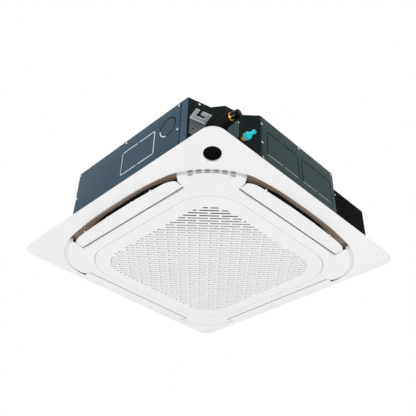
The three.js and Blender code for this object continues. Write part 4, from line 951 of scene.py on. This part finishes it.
def buildLatches():
    # a flat slide with its thumb tongue, and a row of ridges at both sides of the tongue
    parts = [block(*latch["slide"], 0.8, 3), block(*latch["tongue"], 0.8, 2)]
    for box in latch["ridgeBoxes"]:
        parts += [moved(block(*box, 0.2), y=latch["ridgePitch"] * j) for j in range(latch["ridges"])]
    for i, x in enumerate((-latch["x"], latch["x"]), 1):
        shape = moved(joinShapes(*parts), x, latch["tip"])
        addPiece(f"latch_slide_{i}", shape, "greyMoulding", [f"grille_latch_{i}"], f"latch_{i}")


vane = {
    "tilt": -7, "half": 246.5, "pivot": 4.5, "bead": 5, "thick": 4, "cornerLength": 46, "cornerDepth": 16,
    "pin": 3, "arms": (-178, -60, 60, 150), "armHalf": 2.4, "armHigh": 6, "armReach": 43.5, "ribHigh": 1.2,
    "beadSquash": [0.9, 1, 0.84],
    "underside": [[4, 0.3], [2.4, 0.45], [1.0, 0.9], [0.3, 1.5], [0, 2.2]],
}


def vanePlace(shape, side):
    # from the vane's own axis, tilted, to its place on one of the four sides
    return moved(moved(shape, panel["vaneX"], 0, panel["vaneZ"], 0, vane["tilt"]), turn=90 * side)


def vaneOutline():
    # straight inner edge; outer edge on the cushion's long arc, x = half - bow + sqrt(bow^2 - y^2), less
    # depth * (1 - sqrt(1 - past^2)) over the last stretch, where past runs from 0 to 1 at the end
    v = vane
    bow, edge = panel["openingBow"] - panel["grooveWidth"], panel["openingHalf"] - panel["grooveWidth"]
    square = v["half"] - v["cornerLength"]
    y = np.concatenate([np.linspace(0, square, 30)[:-1],
                        v["half"] - v["cornerLength"] * (1 - np.sin(np.linspace(0, np.pi / 2, 22)))])
    past = np.maximum(0, y - square) / v["cornerLength"]
    x = edge - bow + np.sqrt(bow ** 2 - y ** 2) - panel["vaneX"] - v["cornerDepth"] * (1 - np.sqrt(1 - past ** 2))
    return np.concatenate([[[-v["pivot"], -v["half"]]], np.column_stack([x, -y])[::-1],
                           np.column_stack([x, y])[1:], [[-v["pivot"], v["half"]]]])


def buildVanes():
    # each vane is a blade with its bead and pins, a rib and arms above it, and a dark strip of painted shadow
    v = vane
    low, top, half = -v["bead"], v["thick"] - v["bead"], v["half"]
    blade = plate(vaneOutline(), [[inset, low + rise] for inset, rise in v["underside"]]
                  + [[0, top - 0.8], [0.8, top]])
    bead = alongY(rod(v["bead"], -half + 0.3, half - 0.3, 0.8, 40))
    bead = (bead[0] * v["beadSquash"], bead[1])
    pins = alongY(rod(v["pin"], -half - 5, half + 5, 0.4, 24))
    arms = [block(8, v["armReach"], y - v["armHalf"], y + v["armHalf"], top - 0.6, top + v["armHigh"], 0.5)
            for y in v["arms"]]
    rib = block(2, 8, -half + 6, half - 6, top - 0.6, top + v["ribHigh"], 0.4)
    # a dark strip on the blade's inner edge: painted shadow of the gap between the vane and the frame
    gapShadeStrip = block(-v["pivot"] - 0.6, -v["pivot"] + 0.5, -half + 1, half - 1, 0.35 + low, top - 0.5, 0.2)
    for k in range(4):
        body = f"vane_body_{k + 1}"
        addPiece(f"vane_blade_{k + 1}", vanePlace(blade, k), "whiteMoulding", [f"vane_{k + 1}"], body,
                 work=joins(vanePlace(bead, k), vanePlace(pins, k)))
        addPiece(f"vane_ribs_{k + 1}", vanePlace(joinShapes(rib, *arms), k), "whiteMoulding", body=body)
        addPiece(f"vane_gap_shade_{k + 1}", vanePlace(gapShadeStrip, k), "sealFoam", body=body)


# corner: the plan of the pipe recess; knockouts and ports are measured along their wall and up; foam shares are
# how much of a knockout's slots the foam fills at the top, right, bottom and left
casing = {
    "half": 420, "low": 63, "high": 309, "sheet": 1.5, "cut": 156, "boxCut": 219,
    "corner": [[277, -420], [306, -420], [328, -339], [366, -313], [382, -242], [420, -203]],
    "edgeGap": 0.4, "topGap": 1.8, "sheetCorner": 1.2, "sheetEdge": 0.35,
    "rise": 160, "knock": 101, "line": 4.2, "tab": 8, "tipRound": 0.4, "innerRound": 1.2, "outerRound": 3.4,
    "sideKnocks": (30, 6, 11, 20), "foamLow": -1.3, "foamHigh": -0.3, "foamGap": 0.1, "foamEnd": 4,
    "frontKnock": (287, 121), "frontFoam": (1, 1, 1, 0.5), "sideFoam": (0, 0, 0.45, 0),
    "shade": (1, 1, 1, 1), "shadeDepth": 0.25, "seamLow": 66, "seamHigh": 306,
    "portIn": 60, "portUp": 236, "portRadius": 37.8, "portLine": 4.4, "portDepth": 1.1, "portFoamDepth": 0.8,
    "portSlot": (37.5, 4, 176, 262, 4), "portFoam": (37.4, 3.8, 178, 260, 0.5),
    "seams": ((274.4, 277.4, -420.5, -419.4), (419.6, 420.7, -198.6, -197.2)),
}


def wallPlate(length):
    # a sheet seen from its own front: length along X, height along Y, thickness back along Z
    c = casing
    loop = boxLoop(c["edgeGap"], length - c["edgeGap"], c["low"], c["high"] - c["topGap"])
    return softPlate(roundLoop(loop, c["sheetCorner"], 3), -c["sheet"], 0, c["sheetEdge"], 2)


def wallFrame(start, stop):
    # the wall's start, its length, and the unit vectors along it and out of it
    start, run = np.array(start, float), np.array(stop, float) - start
    length = np.linalg.norm(run)
    run = run / length
    return start, length, run, np.array([run[1], -run[0]])


def wallPlace(start, stop):
    # puts shapes drawn on a wall's own plane (along, up, out) at its place in the plan
    start, _, run, out = wallFrame(start, stop)

    def place(shape, outwards=0.0):
        p = np.asarray(shape[0], float)
        flat = start + p[:, :1] * run + (p[:, 2:] + outwards) * out
        return (np.column_stack([flat, p[:, 1]]), *shape[1:])
    return place


def wallSpot(start, stop, share, outwards):
    # a place part of the way along a wall, and the bearing of the wall's outside in degrees
    start, length, run, out = wallFrame(start, stop)
    return start + run * length * share + out * outwards, math.degrees(math.atan2(out[1], out[0]))


def knockout(x0, x1):
    # two bracket-shaped slots that leave a tab between their ends, rounder at their outer corners
    c = casing
    k, t = c["line"], c["tab"] / 2
    y0, y1 = c["rise"], c["rise"] + c["knock"]
    m = (x0 + x1) / 2
    left = [[m - t, y0 + k], [x0 + k, y0 + k], [x0 + k, y1 - k], [m - t, y1 - k],
            [m - t, y1], [x0, y1], [x0, y0], [m - t, y0]]
    right = [[2 * m - x, y] for x, y in left][::-1]
    tip, inner, outer = c["tipRound"], c["innerRound"], c["outerRound"]
    radii = [tip, outer, outer, tip, tip, inner, inner, tip]
    return [prism(roundLoop(left, radii[::-1], 4), -4, 4), prism(roundLoop(right, radii, 4), -4, 4)]


def foamStrips(x0, x1, shares):
    # the foam behind a knockout, showing just under the sheet's face in its slots; each share is how much of the
    # slot's width it fills from its lower or left edge, in the order top, right, bottom, left
    c, k = casing, casing["line"]
    y0, y1 = c["rise"], c["rise"] + c["knock"]
    gap, end = c["foamGap"], c["foamEnd"]
    m, t = (x0 + x1) / 2, c["tab"] / 2 + gap
    top, right, bottom, left = (share * k - gap for share in shares)
    boxes = []
    for a, b in ((x0 + k, m - t), (m + t, x1 - k)):
        boxes += [(a, b, y1 - k + gap, y1 - k + top), (a, b, y0 + gap, y0 + bottom)]
    boxes += [(x1 - k + gap, x1 - k + right, y0 + end, y1 - end), (x0 + gap, x0 + left, y0 + end, y1 - end)]
    return [plainBox(*box, c["foamLow"], c["foamHigh"]) for box in boxes if box[1] > box[0] and box[3] > box[2]]


def ringGroove(x, y):
    # a round groove pressed into the sheet
    radius, inner, depth = casing["portRadius"], casing["portRadius"] - casing["portLine"], -casing["portDepth"]
    return moved(lathe([[inner, depth], [radius, depth], [radius, 2], [inner, 2]], 96, True), x, y)


def arcSlot(x, y, radius, width, start, stop, half):
    # part of a ring, as deep as half to each side of the sheet's face
    t = np.radians(np.linspace(start, stop, 30))
    arc = np.column_stack([np.cos(t), np.sin(t)])
    return prism(np.concatenate([arc * radius, arc[::-1] * (radius - width)]) + [x, y], -half, half)


def buildWalls():
    # the front and right sheets with their knockouts and port, and the foam and shade that fill the slots
    c = casing
    start, stop = [c["cut"] - c["half"], -c["half"]], c["corner"][0]
    place = wallPlace(start, stop)
    length = stop[0] - start[0]
    left, right = (length - x for x in c["frontKnock"])
    port = length - c["portIn"], c["portUp"]
    holes = knockout(left, right) + [arcSlot(*port, *c["portSlot"])]
    foam = [place(strip) for strip in foamStrips(left, right, c["frontFoam"])]
    foam.append(place(arcSlot(*port, *c["portFoam"]), -c["portFoamDepth"]))
    addPiece("front_wall", place(wallPlate(length)), ["slateFront", "shadowLine"], ["side_wall_front"],
             work=cuts(*(place(hole) for hole in holes), marked(place(ringGroove(*port)), 1)))
    start, stop = c["corner"][-1], [c["half"], c["half"] - c["boxCut"]]
    place = wallPlace(start, stop)
    length = stop[1] - start[1]
    holes, shade = [], []
    # a knockout in each half of the wall, each side this far from the wall's end or middle
    ins = c["sideKnocks"]
    for left, right in ((ins[0], length / 2 - ins[1]), (length / 2 + ins[2], length - ins[3])):
        holes += knockout(left, right)
        foam += [place(strip) for strip in foamStrips(left, right, c["sideFoam"])]
        shade += [place(strip, -c["shadeDepth"]) for strip in foamStrips(left, right, c["shade"])]
    addPiece("right_wall", place(wallPlate(length)), "slateSide", ["side_wall_right"],
             work=cuts(*(place(hole) for hole in holes)))
    addPiece("knockout_foam", joinShapes(*foam), "whiteFoam")
    addPiece("knockout_shade", joinShapes(*shade), "shadowLine", slot="foam")


# heads by the bearing of their wall's outside, each [along the wall from its middle, height]; in the recess
# [corner point, share of the way to the next, height, outwards]
screws = {
    "walls": {-90: [(265, 196), (-258, 300), (4, 300), (265, 300), (-257, 193), (-258, 72), (262, 72)],
              0: [(-196, 277), (-196, 196), (-196, 134), (2, 301), (192, 300), (192, 80)],
              180: [(258, 302), (0, 302), (-258, 302), (258, 72), (-258, 72)],
              90: [(258, 302), (30, 302), (-196, 302), (258, 72), (-196, 72)]},
    "recess": [(1, 0.5, 298, 0), (3, 0.7, 262, 0.3)],
    "onBox": (400, 238, 243),
    "head": [[axisGap, 2.4], [1.5, 2.35], [2.6, 2.0], [3.4, 1.2], [3.6, 0.5], [4.3, 0.45], [4.4, 0], [axisGap, 0]],
    "crossLong": 1.7, "crossWide": 0.35, "crossLow": 2.1, "crossHigh": 2.6,
}


def buildScrews():
    # a pan head is a flattened dome on a thin washer, with a cross-shaped recess shown as a dark cross of painted
    # shade
    s, c = screws, casing
    a, b, low, high = s["crossLong"], s["crossWide"], s["crossLow"], s["crossHigh"]
    head = alongX(lathe(s["head"], 24))
    cross = alongX(joinShapes(plainBox(-a, a, -b, b, low, high), plainBox(-b, b, -a, a, low, high)))
    heads, crosses = [], []
    for turn, places in s["walls"].items():
        for along, z in places:
            for shape, store in ((head, heads), (cross, crosses)):
                store.append(moved(moved(shape, c["half"], along, z), turn=turn))
    for first, share, z, outwards in s["recess"]:
        spot, bearing = wallSpot(c["corner"][first], c["corner"][first + 1], share, outwards)
        heads.append(moved(head, *spot, z, bearing))
    heads.append(moved(head, *s["onBox"]))
    addPiece("wall_screws", joinShapes(*heads), "screwZinc")
    addPiece("screw_cross_shade", joinShapes(*crosses), "glossBlack", slot="steel")
    # bent lips where the sheets meet
    seams = [block(*seam, c["seamLow"], c["seamHigh"], 0.2) for seam in c["seams"]]
    addPiece("wall_seams", joinShapes(*seams), "shadowLine")


bracket = {
    "half": 27.5, "reach": 43, "leg": 68, "sheet": 2.5, "bend": 4.5, "inset": 22, "height": 222,
    "slot": 11, "slotLength": 30, "slotRadii": [5.4, 5.4, 0, 0, 1.5, 5.4],
    "holeX": 15, "holeUp": 26, "holeRadius": 3.2,
    "boxReach": 99, "boxLeg": 18, "boxInset": 76, "boxHeight": 287, "shares": (0.43, 0.22, 0.78, 0.61),
}


def bracketShape(reach, leg):
    # an L section with a round bend, carried across the width
    b = bracket
    s, r = b["sheet"], b["bend"]
    t = np.radians(np.linspace(180, 90, 9))
    arc = np.column_stack([np.cos(t), np.sin(t)])
    line = np.concatenate([[[0, -leg]], [r, s - r] + arc * r, [[reach, s], [reach, 0]],
                           ([r, s - r] + arc * (r - s))[::-1], [[s, -leg]]])
    points = [np.column_stack([np.full(len(line), x), line]) for x in (-b["half"], b["half"])]
    return np.concatenate(points), tubeFaces(2, len(line))


def buildBrackets():
    # each hangs on one of the cut corners, a share of the way along it
    b, c = bracket, casing
    half, cut, boxCut = c["half"], c["half"] - c["cut"], c["half"] - c["boxCut"]
    corners = [c["corner"][1:3], ([-half, -cut], [-cut, -half]), ([-cut, half], [-half, cut]),
               ([half, boxCut], [boxCut, half])]
    s, w = b["slotLength"] / 2, b["slot"] / 2
    for i, (start, stop) in enumerate(corners):
        onBox = i == 3
        reach, leg, inset, height = (b[key] for key in (("boxReach", "boxLeg", "boxInset", "boxHeight") if onBox
                                                        else ("reach", "leg", "inset", "height")))
        loop = roundLoop([[-s, inset - w], [s, inset - w], [s, reach + 2], [s - 2 * w, reach + 2],
                          [s - 2 * w, inset + w], [-s, inset + w]], b["slotRadii"])
        holes = [prism(loop, -1, 4)]
        if not onBox:
            hole = alongY(rod(b["holeRadius"], -1, 4, 0.1, 24))
            holes += [moved(hole, x, 0, b["holeUp"] - leg) for x in (-b["holeX"], b["holeX"])]
        spot, bearing = wallSpot(start, stop, b["shares"][i], 0.3)
        shape, *holes = (moved(part, *spot, height, bearing - 90) for part in (bracketShape(reach, leg), *holes))
        addPiece(f"rod_bracket_{i + 1}", shape, "zincSheet", [f"hanger_bracket_{i + 1}"], work=cuts(*holes))


pipes = {
    "gas": {"y": -331, "z": 212, "start": 321.5, "exit": 408, "foam": 20, "bore": 9.5, "nut": (28, 12, 1.6)},
    "liquid": {"y": -280, "z": 159, "start": 336.8, "exit": 411, "foam": 12, "bore": 4.8, "nut": (22, 11, 1.2)},
    "foamThin": 0.965, "foamSwell": 0.03, "swellEvery": 11, "foamEnd": 0.93, "foamWave": 0.006, "waveEvery": 17,
    "nutGap": 0.4, "gasCapAt": 12.3, "liquidCapAt": 11.3, "liquidCapHex": (22.5, 11, 1.4), "liquidCapBore": 4.3,
    # a glossy moulded cup with a collar, a skirt that reaches back round the nut and a slightly domed end
    "gasCap": [[axisGap, 0], [14.3, 0], [14.4, -4.8], [14.8, -5.2], [15.3, -4.8], [15.3, 2.6], [14.6, 3.4],
               [13.9, 4.2], [13.6, 17], [13, 20.4], [11.4, 22.8], [8.6, 23.8], [4, 24], [axisGap, 24]],
    # a flange and a stepped spigot with a hollow end, on the hexagonal body
    "liquidCap": [[axisGap, 10], [11.2, 10], [12.2, 11], [12.2, 13], [11.2, 14], [8.4, 14.8], [8, 19.4],
                  [7.4, 20.6], [6.3, 21.4], [6.1, 31], [6.8, 31.6], [6.8, 34.2], [6.1, 34.8], [6.1, 37.4],
                  [5.6, 38], [4.5, 38], [4.3, 31], [axisGap, 31]],
}


def pipePlace(shape, name, x=0):
    # a shape made about Z, laid along its pipe
    return moved(alongX(shape), x, pipes[name]["y"], pipes[name]["z"])


def buildPipes():
    # foam, nut and cap along each of the two pipes
    p = pipes
    sides = {name: p[name] for name in ("gas", "liquid")}
    for name, pipe in sides.items():
        x = np.linspace(pipe["start"], pipe["exit"] - p["nutGap"], 26)
        # foam swells a little between its bonds, thin + swell * sin(x / every + y)^2, and rounds off at its cut end
        r = pipe["foam"] * (p["foamThin"] + p["foamSwell"] * np.sin(x / p["swellEvery"] + pipe["y"]) ** 2)
        r[-1] = pipe["foam"] * p["foamEnd"]
        bore = pipe["bore"] + p["nutGap"]
        profile = [[bore, x[0]], *np.column_stack([r, x]).tolist(), [bore, x[-1]]]
        foam = lathe(profile, 64, True, lambda a, h: 1 + p["foamWave"] * np.sin(3 * a + h / p["waveEvery"]))
        addPiece(f"{name}_foam", pipePlace(foam, name), "rubberFoam", [f"{name}_pipe_insulation"])
    for name, pipe in sides.items():
        nut = hexNut(*pipe["nut"], pipe["bore"] + p["nutGap"])
        addPiece(f"{name}_nut", pipePlace(nut, name, pipe["exit"]), "brass", [f"{name}_flare_nut"])
    cup = pipePlace(lathe(p["gasCap"], 64), "gas", p["gas"]["exit"] + p["gasCapAt"])
    addPiece("gas_cap", cup, "glossBlack", ["gas_pipe_cap"])
    start = p["liquid"]["exit"] + p["liquidCapAt"]
    bore = rod(p["liquidCapBore"], 30.8, 32.2, 0.1)
    addPiece("liquid_cap_bore", pipePlace(bore, "liquid", start), "glossBlack")
    cap = joinShapes(hexNut(*p["liquidCapHex"]), lathe(p["liquidCap"], 64))
    addPiece("liquid_cap", pipePlace(cap, "liquid", start), "teal", ["liquid_pipe_cap"])


bell = {"low": 60.2, "rise": 61, "mouth": 244, "narrowing": 76, "wall": 2.3, "flange": 262, "flangeHigh": 2.5}


def buildBell():
    # a quarter of an ellipse turned about Z, r = mouth - narrowing * sin t, z = low + rise * (1 - cos t), with a
    # flat flange
    b, low = bell, bell["low"]
    t = np.linspace(0, np.pi / 2, 18)
    curve = np.column_stack([b["mouth"] - b["narrowing"] * np.sin(t), low + b["rise"] * (1 - np.cos(t))])
    flange = [[b["flange"], low], [b["flange"], low + b["flangeHigh"]], [b["mouth"] + 2, low + b["flangeHigh"]]]
    profile = np.concatenate([flange, curve[1:] + [0, 1.2], (curve - [b["wall"], 0])[::-1]])
    addPiece("intake_bell", lathe(profile, 128, True), "fanMoulding", ["bell_mouth"])


# the hub's profile is [radius, height over its base] up to its face, which lies top over the base
fan = {
    "top": 288, "bottom": 116, "radius": 235, "inlet": 177, "shroudRise": 40, "hubDepth": 74,
    "hubLow": [[6.6, 0], [25, 0], [26, 1.2], [27, 6], [60, 10], [82, 14.5]],
    "hubRim": [[90, -9], [93, -4], [100, -3], [234, -3], [235, -2], [235, -1], [234, 0], [90, 0], [86, -3]],
    "hubHigh": [[79, 18], [56, 14], [24, 10], [6.6, 10]],
    "blades": 7, "chord": 98, "camber": 0.16, "bladeTurn": 0.85, "bladeThick": 2.6,
    "nut": (24, 11.4, 1.2, 6.4), "nutDown": 14.3,
    "nutFlange": [[6.4, 10.6], [18, 10.6], [19, 11.6], [19, 13.4], [18.4, 14], [6.4, 14]],
}


def shroudShape():
    # the ring at the blades' lower ends: r = inlet + (radius - inlet) * t^1.5, z rises by 1 - (1 - t)^2.2
    t = np.linspace(0, 1, 12)
    curve = np.column_stack([fan["inlet"] + (fan["radius"] - fan["inlet"]) * t ** 1.5,
                             fan["bottom"] + fan["shroudRise"] * (1 - (1 - t) ** 2.2)])
    return lathe(np.concatenate([curve, curve[::-1] + [-2.4, 2.6]]), 128, True)


def bladeShape():
    # an aerofoil on a bent chord, camber * sin(pi t) high and thinning to its tip, from the shroud to the hub
    f = fan
    t, chord, turn = np.linspace(0, 1, 15), f["chord"], f["bladeTurn"]
    middle = chord * f["camber"] * np.sin(np.pi * t)
    thick = f["bladeThick"] * np.sqrt(t + 0.02) * (1.06 - t) + 0.7
    loop = np.concatenate([np.column_stack([chord * t, middle - thick]),
                           np.column_stack([chord * t, middle + thick])[::-1]])
    loop = loop @ np.array([[math.cos(turn), math.sin(turn)], [-math.sin(turn), math.cos(turn)]])
    loop += [f["radius"] - chord * math.cos(turn) - 7, -chord * 0.42]
    foot = f["bottom"] + np.interp(np.hypot(*loop.T), [178, f["radius"]], [20, f["shroudRise"]])
    points = [np.column_stack([loop, foot]), np.column_stack([loop, np.full(len(loop), f["top"] - 1.5)])]
    return np.concatenate(points), tubeFaces(2, len(loop))


def buildFan():
    # hub, shroud and blades in one wheel, and the nut that holds it
    f = fan
    base = f["top"] - f["hubDepth"]
    hub = np.concatenate([np.array(f["hubLow"]) + [0, base], np.array(f["hubRim"]) + [0, f["top"]],
                          np.array(f["hubHigh"]) + [0, base]])
    blades = [moved(bladeShape(), turn=k * 360 / f["blades"]) for k in range(f["blades"])]
    addPiece("fan_wheel", joinShapes(lathe(hub, 128, True), shroudShape(), *blades), "fanMoulding", ["turbo_fan"],
             "rotor")
    nut = joinShapes(hexNut(*f["nut"]), lathe(f["nutFlange"], 48, True))
    addPiece("hub_nut", moved(nut, z=base - f["nutDown"]), "steel", ["fan_nut"], "rotor")


# the CAD solids whose shapes are right as they are
dressed = {
    "slateFront": ["side_wall_left", "corner_plate_front_left"],
    "slateSide": ["side_wall_rear", "corner_plate_rear_left", "corner_plate_rear_right", "top_plate"],
    "slateCorner": ["pipe_corner_plate"], "slateCover": ["pipe_cover_plate"],
    "zincSheet": ["coil_end_plate_1", "coil_end_plate_2"],
    "whiteFoam": ["foam_liner"], "panFoam": ["drain_pan"], "rubberFoam": ["panel_seal"],
    "finStack": ["evaporator_coil"], "copper": ["gas_pipe", "liquid_pipe"],
    "darkMoulding": ["drain_hose", "drain_socket", "float", "terminal_block"],
    "fanMoulding": ["drain_pump", "float_guide"],
    "steel": ["motor_shaft", "fan_motor", "hinge_pin_1", "hinge_pin_2"],
    "blackSheet": ["electrical_box", "electrical_box_cover"],
    "circuitBoard": ["control_board", "sensor_board"],
    "greyMoulding": [f"vane_motor_{k}" for k in range(1, 5)],
}

buildOuterFrame()
buildSensor()
print("outer frame and sensor made")
buildCentreFrame()
print("centre frame made")
buildGrille()
buildFilter()
buildLatches()
print("grille made")
buildVanes()
print("vanes made")
buildWalls()
buildScrews()
buildBrackets()
print("casing made")
buildPipes()
buildBell()
buildFan()
for kind, names in dressed.items():
    dress(kind, *names)
print("inside made")


# angles in degrees and lengths in metres, but the lens in mm; a lamp is [place, aim, size, watts]
studio = {
    "azimuth": 45.003, "elevation": -36.486, "roll": 1.57, "lens": 52.79, "place": (1.30927, -1.32072, -1.12196),
    "floor": -2.45, "floorHalf": 12.0, "ambient": 0.95, "glossyShare": 0.6,
    "lamps": {
        "keyLamp": ((-0.9, -1.9, -1.7), (0, -0.1, 0.1), 0.8, 7),
        "glintLamp": ((-0.88, -2.43, -1.1), (0.43, -0.33, 0.21), 0.7, 40),
        "fillLamp": ((2.4, 0.8, -2.0), (0, 0, 0.1), 1.6, 14),
        "backLamp": ((-1.5, 2.4, 1.8), (0, 0, 0.2), 2.0, 10),
    },
}


def buildCamera():
    # looks along azimuth and elevation from its place, its upright leaning by the roll
    s = studio
    azimuth, elevation, roll = (math.radians(s[key]) for key in ("azimuth", "elevation", "roll"))
    back = Vector((math.sin(azimuth) * math.cos(elevation), -math.cos(azimuth) * math.cos(elevation),
                   math.sin(elevation)))
    right = (-back).cross(Vector((0, 0, 1))).normalized()
    up = right.cross(-back)
    leaning = Matrix((right * math.cos(roll) + up * math.sin(roll),
                      up * math.cos(roll) - right * math.sin(roll), back))
    camera = putInScene("camera", bpy.data.cameras.new("camera"))
    camera.data.lens = s["lens"]
    camera.data.sensor_width = 36
    camera.data.clip_end = 50
    camera.matrix_world = Matrix.Translation(s["place"]) @ leaning.transposed().to_4x4()
    bpy.context.scene.camera = camera


def buildFloor():
    # a wide pale square below the object
    half = studio["floorHalf"]
    mesh = bpy.data.meshes.new("floor")
    corners = np.column_stack([boxLoop(-half, half, -half, half), np.full(4, studio["floor"])])
    mesh.from_pydata(corners.tolist(), [], [[0, 1, 2, 3]])
    mesh.materials.append(finishes["paleFloor"])
    floor = putInScene("floor", mesh)


def buildLight():
    # the world lights at the ambient strength and shows as white to the camera, glass and, partly, gloss
    s = studio
    world = bpy.data.worlds.new("studio")
    bpy.context.scene.world = world
    world.use_nodes = True
    w = Wiring(world.node_tree)
    background = w.tree.nodes["Background"]
    background.inputs["Color"].default_value = (1, 1, 1, 1)
    rays = w.tree.nodes.new("ShaderNodeLightPath").outputs
    seen = w.sums("MAXIMUM", rays["Is Camera Ray"], rays["Is Transmission Ray"])
    seen = w.sums("MAXIMUM", seen, w.sums("MULTIPLY", rays["Is Glossy Ray"], s["glossyShare"]))
    amount = w.sums("ADD", w.sums("MULTIPLY", seen, 1 - s["ambient"]), s["ambient"])
    w.tree.links.new(amount, background.inputs["Strength"])
    for name, (place, aim, size, watts) in s["lamps"].items():
        lamp = putInScene(name, bpy.data.lights.new(name, "AREA"))
        lamp.data.energy = watts
        lamp.data.size = size
        lamp.visible_diffuse = name != "glintLamp"  # that one only glints in smooth surfaces
        lamp.location = place
        lamp.rotation_euler = (Vector(place) - Vector(aim)).to_track_quat("Z", "Y").to_euler()


buildCamera()
buildFloor()
buildLight()
bpy.context.scene.view_settings.view_transform = "Standard"
print("studio made")
